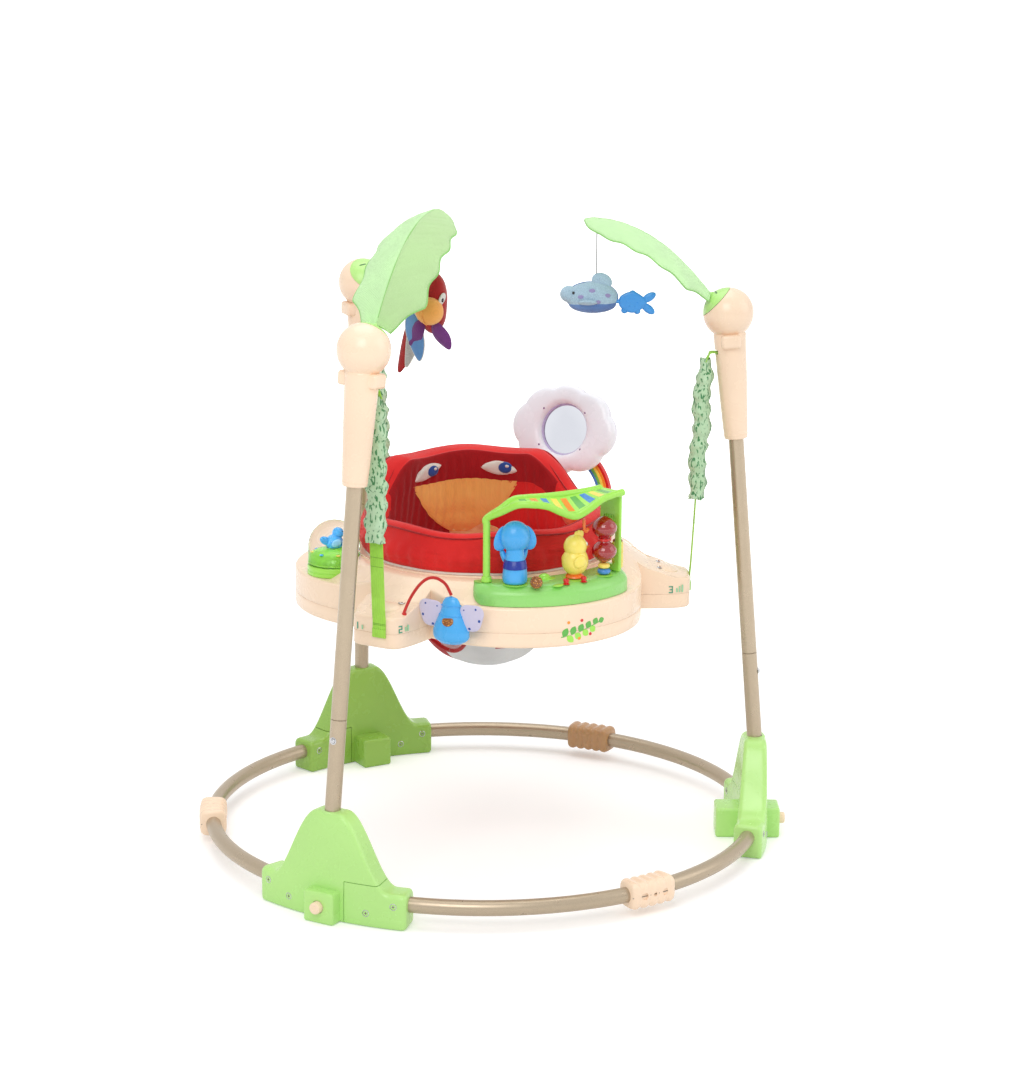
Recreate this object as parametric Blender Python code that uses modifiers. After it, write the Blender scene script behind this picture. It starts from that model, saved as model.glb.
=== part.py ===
"""Free-standing baby jumper.

Three leaning posts stand on a folding floor ring. A tray hangs between them on
sprung straps, a fabric seat turns in the tray, and toys sit on the tray and
hang from two leaves. Sizes are in metres, +Z is up, and the origin is on the
floor under the middle of the object.
"""
import math

import bmesh
import bpy
from mathutils import Matrix, Vector

# Clearances
GAP = 0.0003
BORE_GAP = 0.0007
PIN_GAP = 0.0006

# Floor ring: bent tubes joined by three ribbed couplers
RING_RADIUS = 0.400
RING_HEIGHT = 0.032
TUBE_RADIUS = 0.011
TUBE_STEP_DEG = 6.5
COUPLER_AZIMUTH = 65.1
COUPLER_LENGTH = 0.070
COUPLER_DEPTH = 0.042
COUPLER_RIDGES = 5
COUPLER_RIDGE_HEIGHT = 0.0022
COUPLER_HOLE_RADIUS = 0.0050
COUPLER_HOLE_PITCH = 0.0165

# Feet: a bell-shaped moulding over the ring, with a folding wing on one side
LEG_AZIMUTHS = {"back": 90.0, "left": 210.0, "right": 330.0}
FOOT_LENGTH = 0.230
FOOT_THICKNESS = 0.042
FOOT_TOP_HEIGHT = 0.152
FOOT_TOP_WIDTH = 0.036
FOOT_END_HEIGHT = 0.050
FOOT_SLOPE_END = 0.092
FOOT_EDGE_RADIUS = 0.008
FOOT_SOLE = 0.004
TUBE_INSERT = 0.030
TUBE_END_GAP = 0.0015
WING_SEAM = 0.030
WING_SEAM_HEIGHT = 0.060
BLOCK_WIDTH = 0.048
BLOCK_HEIGHT = 0.045
BLOCK_INWARD = 0.035
BLOCK_OUTWARD = 0.018
KNOB_RADIUS = 0.0085
KNOB_PROUD = 0.009
KNOB_DEPTH = 0.005
KNOB_STEM_RADIUS = 0.003
KNOB_STEM_LENGTH = 0.014
KNOB_TRAVEL = 0.004

# Posts: lower and upper tube, locked by a sprung button
POST_FOOT_HEIGHT = 0.149
BALL_REACH = 0.348
BALL_HEIGHT = 0.778
BALL_TWIST_DEG = 3.4
POST_INSERT = 0.060
POST_SEAM = 0.1295
POST_WALL = 0.0013
SPIGOT_LENGTH = 0.060
BUTTON_DROP = 0.0285
BUTTON_RADIUS = 0.0035
BUTTON_LENGTH = 0.0100
BUTTON_PROUD = 0.0028
BUTTON_TRAVEL = 0.0026

# Towers: tapered housing with a ball on top, two lugs and a green cap
TOWER_FOOT = 0.449
TOWER_FOOT_RADIUS = 0.0170
TOWER_NECK_RADIUS = 0.0235
BALL_RADIUS = 0.0365
TOWER_BORE_DEPTH = 0.096
LUG_WIDTH = 0.028
LUG_HEIGHT = 0.020
LUG_REACH = 0.031
SLOT_BELOW_BALL = 0.0545
SLOT_WIDTH = 0.025
SLOT_HEIGHT = 0.006
SLOT_DEPTH = 0.012
CAP_TILT_DEG = 42.0
CAP_PLANE = 0.0235

# Leaves on the left and right towers
LEAF_TIP_REACH = 0.140
LEAF_HALF_WIDTH = 0.060
LEAF_THICKNESS = 0.004
LEAF_DROOP_DEG = 24.0
LEAF_SCALLOP = 0.05
LEAF_RISES = {"left": 0.134, "right": 0.106}
LEAF_STEM_RADIUS = 0.0035
LEAF_STEM_DEPTH = 0.007
LEAF_STEM_LENGTH = 0.005

# Straps and their gathered sleeves
STRAP_WIDTH = 0.021
STRAP_THICKNESS = 0.0016
STRAP_SIDE = 0.0115
STRAP_FOOT_HEIGHT = 0.372
SLEEVE_TOP_DROP = 0.012
SLEEVE_FOOT_HEIGHT = 0.508
SLEEVE_FOOT_REACH = 0.306
SLEEVE_RADIUS = 0.0145
SLEEVE_GATHERS = 8

# Tray: three round lobes and three strap arms round the seat hole
LOBE_CENTRE = 0.100
LOBE_RADIUS = 0.175
LOBE_AZIMUTH = 30.0
ARM_REACH = 0.2985
ARM_HALF_WIDTH = 0.046
ARM_SQUARENESS = 7.0
TRAY_BOTTOM = 0.356
TRAY_SEAM = 0.377
DECK_HEIGHT = 0.413
COLLAR_HEIGHT = 0.437
COLLAR_REACH = 0.206
DECK_INNER_REACH = 0.242
ARM_DROP = 0.013
TRAY_EDGE_RADIUS = 0.004
SEAT_HOLE_RADIUS = 0.1635
TRAY_RIB_WIDTH = 0.010
TRAY_RECESS = 0.012
TRAY_WALL = 0.0035

# Seat: a turning ring and the fabric sling that hangs in it
SEAT_RING_FLANGE = 0.176
SEAT_RING_FLANGE_THICKNESS = 0.003
SEAT_RING_WALL = 0.0025
SEAT_RING_DROP = 0.052
SEAT_BACK_AZIMUTH = 75.0
SEAT_RIM_REACH = 0.183
SEAT_RIM_TOP = 0.495
SEAT_BACK_RISE = 0.060
SEAT_CLOTH = 0.005
SEAT_BOTTOM = 0.272
SEAT_BOTTOM_HALF_WIDTH = 0.055
SEAT_BOTTOM_HALF_LENGTH = 0.066
LEG_HOLE_AZIMUTH = 52.0
LEG_HOLE_HEIGHT = 0.335
LEG_HOLE_HALF_WIDTH = 0.046
LEG_HOLE_HALF_HEIGHT = 0.038

# Pond plate on the front lobe and the toys that stand on it
POND_START_DEG = 237.0
POND_END_DEG = 295.5
POND_TOP = 0.441
POND_LIP = 0.428
POND_MARGIN = 0.006
TOY_PIN_RADIUS = 0.003
TOY_PIN_DEPTH = 0.008
BRIDGE_RAIL_RADIUS = 0.0050
BRIDGE_TOP = 0.556
BRIDGE_DIP = 0.022
BRIDGE_START_DEG = 241.5
BRIDGE_END_DEG = 289.0
BRIDGE_BACK_REACH = 0.216
BRIDGE_FRONT_REACH = 0.256
BRIDGE_LEG_REACH = 0.228
BRIDGE_PANEL = 0.003
BRIDGE_END_WIDTH = 0.036
BRIDGE_END_THICKNESS = 0.006
FIGURE_AZIMUTH = 251.0
FIGURE_REACH = 0.236
FIGURE_HEIGHT = 0.088
FIGURE_HEAD_RADIUS = 0.021
FIGURE_BODY_RADIUS = 0.0165
BIRD_AZIMUTH = 272.5
BIRD_REACH = 0.238
BIRD_HEIGHT = 0.062
BIRD_RADIUS = 0.019
SPINNER_AZIMUTH = 283.0
SPINNER_REACH = 0.247
SPINNER_RADIUS = 0.0175
SPINNER_HEIGHT = 0.066
SPINNER_BEADS = 0.018
ROLLER_AZIMUTH = 292.3
ROLLER_REACH = 0.238
ROLLER_RADIUS = 0.0080
ROLLER_HEIGHT = 0.044

# Dome toy on the left lobe
DOME_AZIMUTH = 168.0
DOME_REACH = 0.2245
DOME_RADIUS = 0.0385
DOME_BASE_HEIGHT = 0.014
DOME_WALL = 0.0016
DOME_STRAIGHT = 0.026
HILL_HEIGHT = 0.024
HILL_FIGURE_RADIUS = 0.011

# Cloud mirror on a rainbow arch at the right lobe
CLOUD_REACH = 0.2355
CLOUD_HEIGHT = 0.569
CLOUD_HALF_WIDTH = 0.086
CLOUD_HALF_HEIGHT = 0.065
CLOUD_THICKNESS = 0.022
CLOUD_HOLE_RADIUS = 0.039
CLOUD_TILT_DEG = 15.0
CLOUD_SCALLOPS = 8
CLOUD_SCALLOP_DEPTH = 0.003
CLOUD_PLATE = 0.003
ARCH_RADIUS = 0.067
ARCH_BAND = 0.022
ARCH_THICKNESS = 0.008
ARCH_SPRING_HEIGHT = 0.470
ARCH_SEAT = 0.0038

# Bug toy hanging over the tray edge on its loop
BUG_AZIMUTH = 232.5
BUG_TOP = 0.430
BUG_HEIGHT = 0.066
BUG_RADIUS = 0.027
BUG_FLATNESS = 0.62
BUG_WING_LENGTH = 0.026
BUG_WING_HEIGHT = 0.032
BUG_WING_THICKNESS = 0.005
LOOP_RADIUS = 0.0022
LOOP_FOOT_AZIMUTH = 217.4
LOOP_RISE = 0.034

# Fish and parrot hanging from the leaves
STRING_RADIUS = 0.0008
FISH_DROP = 0.108
FISH_LENGTH = 0.074
FISH_HEIGHT = 0.044
FISH_DEPTH = 0.032
TEETHER_LENGTH = 0.056
TEETHER_HEIGHT = 0.030
TEETHER_THICKNESS = 0.008
PARROT_DROP = 0.130
PARROT_LENGTH = 0.072
PARROT_WIDTH = 0.036
PARROT_BEAK_RADIUS = 0.0165
HANG_SHARE = 0.90

# Worked out from the sizes above
BLOCK_REACH = RING_RADIUS + FOOT_THICKNESS / 2 + BLOCK_OUTWARD
KNOB_REACH = BLOCK_REACH + KNOB_PROUD
COUPLER_REACH = RING_RADIUS + COUPLER_DEPTH / 2
MODEL_SHIFT = -(KNOB_REACH - COUPLER_REACH) / 2
COLOURS = {
    "beige_plastic": ((252, 228, 200), 0.35, 0.0),
    "green_plastic": ((172, 226, 120), 0.30, 0.0),
    "taupe_steel": ((176, 158, 134), 0.30, 0.6),
    "lime_webbing": ((165, 225, 75), 0.80, 0.0),
    "leaf_print": ((150, 200, 150), 0.85, 0.0),
    "leaf_cloth": ((185, 236, 160), 0.80, 0.0),
    "lime_plastic": ((165, 235, 85), 0.30, 0.0),
    "pond_plastic": ((140, 210, 105), 0.30, 0.0),
    "red_cloth": ((200, 28, 30), 0.85, 0.0),
    "blue_plastic": ((70, 170, 235), 0.30, 0.0),
    "yellow_plastic": ((248, 226, 105), 0.35, 0.0),
    "red_glitter": ((160, 20, 25), 0.20, 0.0),
    "clear_plastic": ((225, 232, 240), 0.08, 0.0),
    "cloud_plastic": ((226, 224, 236), 0.30, 0.0),
    "rainbow_plastic": ((240, 150, 80), 0.30, 0.0),
    "blue_plush": ((120, 180, 225), 0.85, 0.0),
    "red_plush": ((175, 25, 30), 0.85, 0.0),
    "white_plastic": ((240, 236, 228), 0.35, 0.0),
    "steel": ((190, 190, 192), 0.30, 1.0),
}


def linear(channel):
    """Turn one 0-255 sRGB channel into a linear value."""
    value = channel / 255.0
    return value / 12.92 if value <= 0.04045 else ((value + 0.055) / 1.055) ** 2.4


def make_material(name):
    colour, roughness, metallic = COLOURS[name]
    material = bpy.data.materials.new(name)
    material.use_nodes = True
    shader = material.node_tree.nodes["Principled BSDF"]
    shader.inputs["Base Color"].default_value = (*[linear(c) for c in colour], 1.0)
    shader.inputs["Roughness"].default_value = roughness
    shader.inputs["Metallic"].default_value = metallic
    return material


def polar(reach, azimuth, height):
    """Point at a distance from the vertical axis, an azimuth in degrees and a height."""
    angle = math.radians(azimuth)
    return Vector((reach * math.cos(angle), reach * math.sin(angle), height))


def smoothstep(low, high, value):
    t = min(1.0, max(0.0, (value - low) / (high - low)))
    return t * t * (3.0 - 2.0 * t)


def mesh_from(bm):
    bmesh.ops.recalc_face_normals(bm, faces=bm.faces)
    mesh = bpy.data.meshes.new("shape")
    bm.to_mesh(mesh)
    bm.free()
    return mesh


def evaluated(obj):
    """Mesh of an object with its modifiers applied; the object is removed."""
    bpy.context.scene.collection.objects.link(obj)
    bpy.context.view_layer.update()
    graph = bpy.context.evaluated_depsgraph_get()
    mesh = bpy.data.meshes.new_from_object(obj.evaluated_get(graph))
    bpy.data.objects.remove(obj, do_unlink=True)
    bm = bmesh.new()
    bm.from_mesh(mesh)
    bmesh.ops.remove_doubles(bm, verts=bm.verts, dist=0.00001)
    return mesh_from(bm)


def combine(first, second, operation):
    """Boolean of two closed meshes: UNION, DIFFERENCE or INTERSECT."""
    other = bpy.data.objects.new("tool", second)
    bpy.context.scene.collection.objects.link(other)
    obj = bpy.data.objects.new("stock", first)
    cut = obj.modifiers.new("cut", "BOOLEAN")
    cut.operation = operation
    cut.solver = "EXACT"
    cut.object = other
    result = evaluated(obj)
    bpy.data.objects.remove(other, do_unlink=True)
    return result


def union(*meshes):
    result = meshes[0]
    for mesh in meshes[1:]:
        result = combine(result, mesh, "UNION")
    return result


def cut_away(stock, *tools):
    for tool in tools:
        stock = combine(stock, tool, "DIFFERENCE")
    return stock


def loft(rings, closed=False):
    """Skin closed rings of equal point count; capped, or joined end to end."""
    bm = bmesh.new()
    loops = [[bm.verts.new(point) for point in ring] for ring in rings]
    count = len(rings[0])
    following = loops[1:] + ([loops[0]] if closed else [])
    for lower, upper in zip(loops, following):
        for i in range(count):
            j = (i + 1) % count
            bm.faces.new((lower[i], lower[j], upper[j], upper[i]))
    if not closed:
        bm.faces.new(loops[0])
        bm.faces.new(loops[-1])
    return mesh_from(bm)


def turned(profile, steps=12, closed=False):
    """Solid of revolution about Z from (radius, height) points."""
    mesh = bpy.data.meshes.new("profile")
    points = [(radius, 0.0, height) for radius, height in profile]
    edges = [(i, i + 1) for i in range(len(points) - 1)]
    if closed:
        edges.append((len(points) - 1, 0))
    mesh.from_pydata(points, edges, [])
    obj = bpy.data.objects.new("turned", mesh)
    screw = obj.modifiers.new("screw", "SCREW")
    screw.steps = steps
    screw.render_steps = steps
    screw.use_merge_vertices = True
    screw.merge_threshold = 0.00001
    return evaluated(obj)


def tube(points, radius, resolution=3):
    """Round bar along a list of points."""
    curve = bpy.data.curves.new("tube", "CURVE")
    curve.dimensions = "3D"
    spline = curve.splines.new("POLY")
    spline.points.add(len(points) - 1)
    for slot, point in zip(spline.points, points):
        slot.co = (*point, 1.0)
    curve.bevel_depth = radius
    curve.bevel_resolution = resolution
    curve.use_fill_caps = True
    return evaluated(bpy.data.objects.new("tube", curve))


def box(size, centre, bevel=0.0, segments=2):
    bm = bmesh.new()
    bmesh.ops.create_cube(bm, size=1.0)
    bmesh.ops.scale(bm, vec=size, verts=bm.verts)
    if bevel > 0.0:
        bmesh.ops.bevel(bm, geom=bm.edges[:], offset=bevel, segments=segments,
                        affect="EDGES", profile=0.5)
    bmesh.ops.translate(bm, vec=centre, verts=bm.verts)
    return mesh_from(bm)


def ellipsoid(radii, centre, turn=None, segments=12, rings=7):
    """Stretched sphere, turned by a rotation matrix before it is moved."""
    bm = bmesh.new()
    bmesh.ops.create_uvsphere(bm, u_segments=segments, v_segments=rings, radius=1.0)
    bmesh.ops.scale(bm, vec=radii, verts=bm.verts)
    if turn:
        bmesh.ops.transform(bm, matrix=turn, verts=bm.verts)
    bmesh.ops.translate(bm, vec=centre, verts=bm.verts)
    return mesh_from(bm)


def moved(mesh, matrix):
    mesh.transform(matrix)
    return mesh


def rotation(degrees, axis):
    return Matrix.Rotation(math.radians(degrees), 4, axis)


def make_empty(name, parent=None, location=(0, 0, 0), turn_deg=0.0):
    empty = bpy.data.objects.new(name, None)
    empty.empty_display_size = 0.05
    empty.location = location
    empty.rotation_euler = (0.0, 0.0, math.radians(turn_deg))
    empty.parent = parent
    bpy.data.collections["baby_jumper"].objects.link(empty)
    return empty


def place(name, mesh, material, parent, pivot=(0, 0, 0)):
    """Add a finished piece; its mesh is drawn in the parent's frame."""
    if mesh.users == 0:
        mesh.transform(Matrix.Translation(-Vector(pivot)))
        mesh.materials.clear()
        mesh.materials.append(MATERIALS[material])
        mesh.shade_smooth()
        mesh.set_sharp_from_angle(angle=math.radians(32))
        mesh.name = name
    obj = bpy.data.objects.new(name, mesh)
    obj.location = pivot
    obj.parent = parent
    bpy.data.collections["baby_jumper"].objects.link(obj)
    return obj


# Floor ring

def arc_points(start_deg, end_deg):
    """Points along the ring's centre line, in a leg's frame."""
    count = max(2, math.ceil(abs(end_deg - start_deg) / TUBE_STEP_DEG))
    steps = [start_deg + (end_deg - start_deg) * i / count for i in range(count + 1)]
    return [polar(RING_RADIUS, azimuth, RING_HEIGHT) for azimuth in steps]


def arc_degrees(length):
    return math.degrees(length / RING_RADIUS)


def bent(section, along):
    """Put a section, given as (offset from the ring line, height), at an arc length."""
    azimuth = arc_degrees(along)
    return [polar(RING_RADIUS + across, azimuth, height) for across, height in section]


def coupler_mesh():
    """Ribbed clamp round the meeting tubes, with three holes in its outer face."""
    half = COUPLER_LENGTH / 2
    pitch = COUPLER_LENGTH / COUPLER_RIDGES
    stations = [(-half, 0.6), (-half + 0.0015, 0.0)]
    for ridge in range(COUPLER_RIDGES):
        start = -half + ridge * pitch
        stations += [(start + pitch * 0.22, 0.0), (start + pitch * 0.50, 1.0), (start + pitch * 0.78, 0.0)]
    stations += [(half - 0.0015, 0.0), (half, 0.6)]
    rings = []
    for along, share in stations:
        body = COUPLER_DEPTH / 2 - COUPLER_RIDGE_HEIGHT
        reach = body + (COUPLER_RIDGE_HEIGHT * share if -half < along < half else -0.0015)
        section = []
        for i in range(12):
            angle = 2 * math.pi * (i + 0.5) / 12
            square = (abs(math.cos(angle)) ** 4 + abs(math.sin(angle)) ** 4) ** -0.25
            section.append((reach * square * 0.94 * math.cos(angle),
                            RING_HEIGHT + reach * square * 0.94 * math.sin(angle)))
        rings.append(bent(section, along))
    swing = arc_degrees(half) + TUBE_STEP_DEG
    body = cut_away(loft(rings), tube(arc_points(-swing, swing), TUBE_RADIUS + BORE_GAP))
    for step, scale in ((-1, 1.0), (0, 0.55), (1, 1.0)):
        hole = turned([(0, -0.004), (COUPLER_HOLE_RADIUS * scale, -0.004),
                       (COUPLER_HOLE_RADIUS * scale, 0.01), (0, 0.01)], 8)
        azimuth = arc_degrees(step * COUPLER_HOLE_PITCH)
        turn = rotation(azimuth, "Z") @ Matrix.Translation((COUPLER_REACH, 0, RING_HEIGHT))
        body = cut_away(body, moved(hole, turn @ rotation(90, "Y")))
    return moved(body, rotation(COUPLER_AZIMUTH, "Z"))


# Feet

def foot_height(along):
    t = (abs(along) - FOOT_TOP_WIDTH / 2) / (FOOT_SLOPE_END - FOOT_TOP_WIDTH / 2)
    t = min(1.0, max(0.0, t))
    rise = FOOT_TOP_HEIGHT - FOOT_END_HEIGHT
    return FOOT_END_HEIGHT + rise * (0.5 + 0.5 * math.cos(math.pi * t))


def foot_section(along, inset=0.0):
    """Rounded upright section of the foot: (offset, height) points."""
    top = foot_height(along) - inset
    taper = 0.004 * (top - FOOT_END_HEIGHT) / (FOOT_TOP_HEIGHT - FOOT_END_HEIGHT)
    half = FOOT_THICKNESS / 2 - inset
    upper = half - max(0.0, taper)
    edge = FOOT_EDGE_RADIUS
    left = [(-half, FOOT_SOLE + inset), (-half, WING_SEAM_HEIGHT * 0.5)]
    for angle in (0, 45, 90):
        turn = math.radians(angle)
        left.append((-upper + edge * (1 - math.cos(turn)), top - edge * (1 - math.sin(turn))))
    right = [(-across, height) for across, height in reversed(left)]
    return left + right


def foot_blank():
    half = FOOT_LENGTH / 2
    rounding = 0.006
    inner = [i * 0.0155 for i in range(-7, 8)]
    stations = [(-half, rounding * 0.8), (-half + 0.0025, rounding * 0.25), (-half + rounding, 0.0)]
    stations += [(along, 0.0) for along in inner if abs(along) < half - rounding - 0.003]
    stations += [(half - rounding, 0.0), (half - 0.0025, rounding * 0.25), (half, rounding * 0.8)]
    return loft([bent(foot_section(along, inset), along) for along, inset in stations])


def wing_region(clearance):
    """Block of space that belongs to the folding wing."""
    start = WING_SEAM - clearance
    size = (0.2, FOOT_LENGTH, WING_SEAM_HEIGHT + clearance + 0.02)
    centre = (RING_RADIUS, start + FOOT_LENGTH / 2, (WING_SEAM_HEIGHT + clearance - 0.02) / 2)
    return box(size, centre)


def ring_bores():
    inner = arc_degrees(FOOT_LENGTH / 2 - TUBE_INSERT - PIN_GAP)
    outer = arc_degrees(FOOT_LENGTH / 2) + TUBE_STEP_DEG
    return [tube(arc_points(side * inner, side * outer), TUBE_RADIUS + BORE_GAP)
            for side in (-1, 1)]


def foot_mesh():
    inward = FOOT_THICKNESS / 2 + BLOCK_INWARD
    outward = FOOT_THICKNESS / 2 + BLOCK_OUTWARD
    block = box((inward + outward, BLOCK_WIDTH, BLOCK_HEIGHT),
                (RING_RADIUS + (outward - inward) / 2, 0, BLOCK_HEIGHT / 2), 0.004)
    foot = union(cut_away(foot_blank(), wing_region(GAP / 2)), block)
    bore = turned([(0, -POST_INSERT - PIN_GAP), (TUBE_RADIUS + BORE_GAP, -POST_INSERT - PIN_GAP),
                   (TUBE_RADIUS + BORE_GAP, 0.03), (0, 0.03)])
    foot = cut_away(foot, moved(bore, POST_FRAME), ring_bores()[0])
    pocket = KNOB_DEPTH + KNOB_TRAVEL + PIN_GAP
    stem = pocket + KNOB_STEM_LENGTH
    wide = KNOB_RADIUS + PIN_GAP
    thin = KNOB_STEM_RADIUS + PIN_GAP
    hole = turned([(0, -stem), (thin, -stem), (thin, -pocket), (wide, -pocket),
                   (wide, 0.01), (0, 0.01)])
    return cut_away(foot, moved(hole, knob_frame()))


def foot_wing_mesh():
    wing = combine(foot_blank(), wing_region(-GAP / 2), "INTERSECT")
    return cut_away(wing, ring_bores()[1])


def knob_frame():
    """Frame on the block's outer face, +Z pointing outward."""
    return Matrix.Translation((BLOCK_REACH, 0, RING_HEIGHT - 0.008)) @ rotation(90, "Y")


def knob_mesh():
    foot = -KNOB_DEPTH - KNOB_STEM_LENGTH
    edge = KNOB_RADIUS - 0.0015
    knob = turned([(0, foot), (KNOB_STEM_RADIUS, foot), (KNOB_STEM_RADIUS, -KNOB_DEPTH),
                   (KNOB_RADIUS, -KNOB_DEPTH), (KNOB_RADIUS, KNOB_PROUD - 0.0015),
                   (edge, KNOB_PROUD), (0, KNOB_PROUD)])
    return moved(knob, knob_frame())


# Posts

def post_frame():
    """Frame with its origin on the foot and +Z up the leaning post."""
    start = Vector((RING_RADIUS, 0, POST_FOOT_HEIGHT))
    up = (polar(BALL_REACH, BALL_TWIST_DEG, BALL_HEIGHT) - start).normalized()
    side = up.cross(Vector((1, 0, 0))).normalized()
    out = side.cross(up)
    turn = Matrix((out, side, up)).transposed().to_4x4()
    return Matrix.Translation(start) @ turn


def button_hole():
    height = POST_SEAM - BUTTON_DROP
    reach = TUBE_RADIUS + BUTTON_PROUD - BUTTON_LENGTH - BUTTON_TRAVEL - PIN_GAP
    radius = BUTTON_RADIUS + PIN_GAP
    hole = turned([(0, reach), (radius, reach), (radius, 0.02), (0, 0.02)], 12)
    return moved(hole, Matrix.Translation((0, 0, height)) @ rotation(90, "Y"))


def lower_post_mesh():
    bore = TUBE_RADIUS - POST_WALL
    floor = POST_SEAM - SPIGOT_LENGTH - PIN_GAP * 4
    post = turned([(0, -POST_INSERT), (TUBE_RADIUS, -POST_INSERT), (TUBE_RADIUS, POST_SEAM),
                   (bore, POST_SEAM), (bore, floor), (0, floor)])
    return moved(cut_away(post, button_hole()), POST_FRAME)


def upper_post_mesh():
    spigot = TUBE_RADIUS - POST_WALL - PIN_GAP
    foot = POST_SEAM + GAP
    top = TOWER_FOOT + TOWER_BORE_DEPTH
    post = turned([(0, foot - SPIGOT_LENGTH), (spigot, foot - SPIGOT_LENGTH), (spigot, foot),
                   (TUBE_RADIUS, foot), (TUBE_RADIUS, top), (0, top)])
    return moved(cut_away(post, button_hole()), POST_FRAME)


def snap_button_mesh():
    outer = TUBE_RADIUS + BUTTON_PROUD
    inner = outer - BUTTON_LENGTH
    button = turned([(0, inner), (BUTTON_RADIUS, inner), (BUTTON_RADIUS, outer - 0.0012),
                     (BUTTON_RADIUS * 0.7, outer - 0.0003), (0, outer)], 12)
    height = POST_SEAM - BUTTON_DROP
    turn = Matrix.Translation((0, 0, height)) @ rotation(90, "Y")
    return moved(button, POST_FRAME @ turn)


# Towers

def post_length():
    start = Vector((RING_RADIUS, 0, POST_FOOT_HEIGHT))
    return (polar(BALL_REACH, BALL_TWIST_DEG, BALL_HEIGHT) - start).length


def cap_frame():
    """Frame at the ball's centre, +Z through the middle of the green cap."""
    return Matrix.Translation((0, 0, post_length())) @ rotation(-CAP_TILT_DEG, "Y")


def ball_arc(start_deg, end_deg, count):
    """Points of the ball's outline, angles from its pole."""
    steps = [start_deg + (end_deg - start_deg) * i / count for i in range(count + 1)]
    return [(BALL_RADIUS * math.sin(math.radians(a)), BALL_RADIUS * math.cos(math.radians(a)))
            for a in steps]


def tower_mesh():
    ball = post_length()
    neck_angle = 180.0 - math.degrees(math.asin(TOWER_NECK_RADIUS / BALL_RADIUS))
    sphere = [(radius, ball + height) for radius, height in ball_arc(neck_angle, 0.0, 7)]
    neck = sphere[0][1]
    profile = [(0, TOWER_FOOT), (TOWER_FOOT_RADIUS - 0.002, TOWER_FOOT),
               (TOWER_FOOT_RADIUS, TOWER_FOOT + 0.002),
               (TOWER_NECK_RADIUS, neck - LUG_HEIGHT - 0.002)]
    tower = turned(profile + [(max(0.0, r), z) for r, z in sphere[:-1]] + [(0, ball + BALL_RADIUS)])
    lug = box((LUG_WIDTH, 2 * LUG_REACH, LUG_HEIGHT), (0, 0, neck - LUG_HEIGHT / 2 - 0.001), 0.003, 1)
    tower = union(tower, lug)
    bore_top = TOWER_FOOT + TOWER_BORE_DEPTH + PIN_GAP
    bore = turned([(0, TOWER_FOOT - 0.01), (TUBE_RADIUS + BORE_GAP, TOWER_FOOT - 0.01),
                   (TUBE_RADIUS + BORE_GAP, bore_top), (0, bore_top)])
    slot = box((2 * SLOT_DEPTH, SLOT_WIDTH, SLOT_HEIGHT),
               (-TOWER_NECK_RADIUS, 0, ball - SLOT_BELOW_BALL), 0.001, 1)
    half_space = box((0.2, 0.2, 0.1), (0, 0, CAP_PLANE + 0.05))
    tower = cut_away(tower, bore, slot, moved(half_space, cap_frame()))
    return moved(tower, POST_FRAME)


def tower_cap_mesh(with_leaf):
    rim = math.degrees(math.acos((CAP_PLANE + GAP) / BALL_RADIUS))
    arc = ball_arc(rim, 0.0, 4)[:-1] + [(0, BALL_RADIUS)]
    cap = turned([(0, CAP_PLANE + GAP)] + arc, 18)
    if with_leaf:
        radius = LEAF_STEM_RADIUS + PIN_GAP
        floor = BALL_RADIUS - LEAF_STEM_DEPTH - PIN_GAP
        cap = cut_away(cap, turned([(0, floor), (radius, floor), (radius, 0.05), (0, 0.05)], 12))
    return moved(cap, POST_FRAME @ cap_frame())


def leaf_base():
    """Where the leaf leaves the cap, in the leg's frame."""
    return POST_FRAME @ cap_frame() @ Vector((0, 0, BALL_RADIUS + LEAF_STEM_LENGTH))


def leaf_rib(share, rise):
    """Point of the leaf's middle rib; share 0 is the base, 1 the tip."""
    base = leaf_base()
    tip = polar(LEAF_TIP_REACH, BALL_TWIST_DEG, base.z + rise)
    point = base.lerp(tip, share)
    point.z = base.z + rise * (1.0 - (1.0 - share) ** 2.2)
    return point


def leaf_mesh(rise):
    """Arching leaf with a ridged middle rib and scalloped edges."""
    across = 6
    along = 15
    bm = bmesh.new()
    rows = []
    for i in range(along + 1):
        share = i / along
        centre = leaf_rib(share, rise)
        width = LEAF_HALF_WIDTH * min(1.0, 0.36 + 3.4 * share) * (1.0 - share ** 5) ** 0.5
        width = max(width, 0.006)
        row = []
        for j in range(across + 1):
            side = 2.0 * j / across - 1.0
            scallop = 1.0 + LEAF_SCALLOP * math.cos(10 * math.pi * share) * side * side
            reach = width * side * scallop
            drop = abs(reach) * math.sin(math.radians(LEAF_DROOP_DEG)) * (0.6 + 0.4 * abs(side))
            point = centre + Vector((0, reach * math.cos(math.radians(LEAF_DROOP_DEG)), -drop))
            row.append(bm.verts.new(point))
        rows.append(row)
    for first, second in zip(rows, rows[1:]):
        for j in range(across):
            bm.faces.new((first[j], first[j + 1], second[j + 1], second[j]))
    obj = bpy.data.objects.new("leaf", mesh_from(bm))
    shell = obj.modifiers.new("thickness", "SOLIDIFY")
    shell.thickness = LEAF_THICKNESS
    shell.offset = 0.0
    blade = evaluated(obj)
    stem = turned([(0, BALL_RADIUS - LEAF_STEM_DEPTH), (LEAF_STEM_RADIUS, BALL_RADIUS - LEAF_STEM_DEPTH),
                   (LEAF_STEM_RADIUS, BALL_RADIUS + LEAF_STEM_LENGTH + 0.001),
                   (0, BALL_RADIUS + LEAF_STEM_LENGTH + 0.001)], 12)
    return union(blade, moved(stem, POST_FRAME @ cap_frame()))


# Straps

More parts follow.
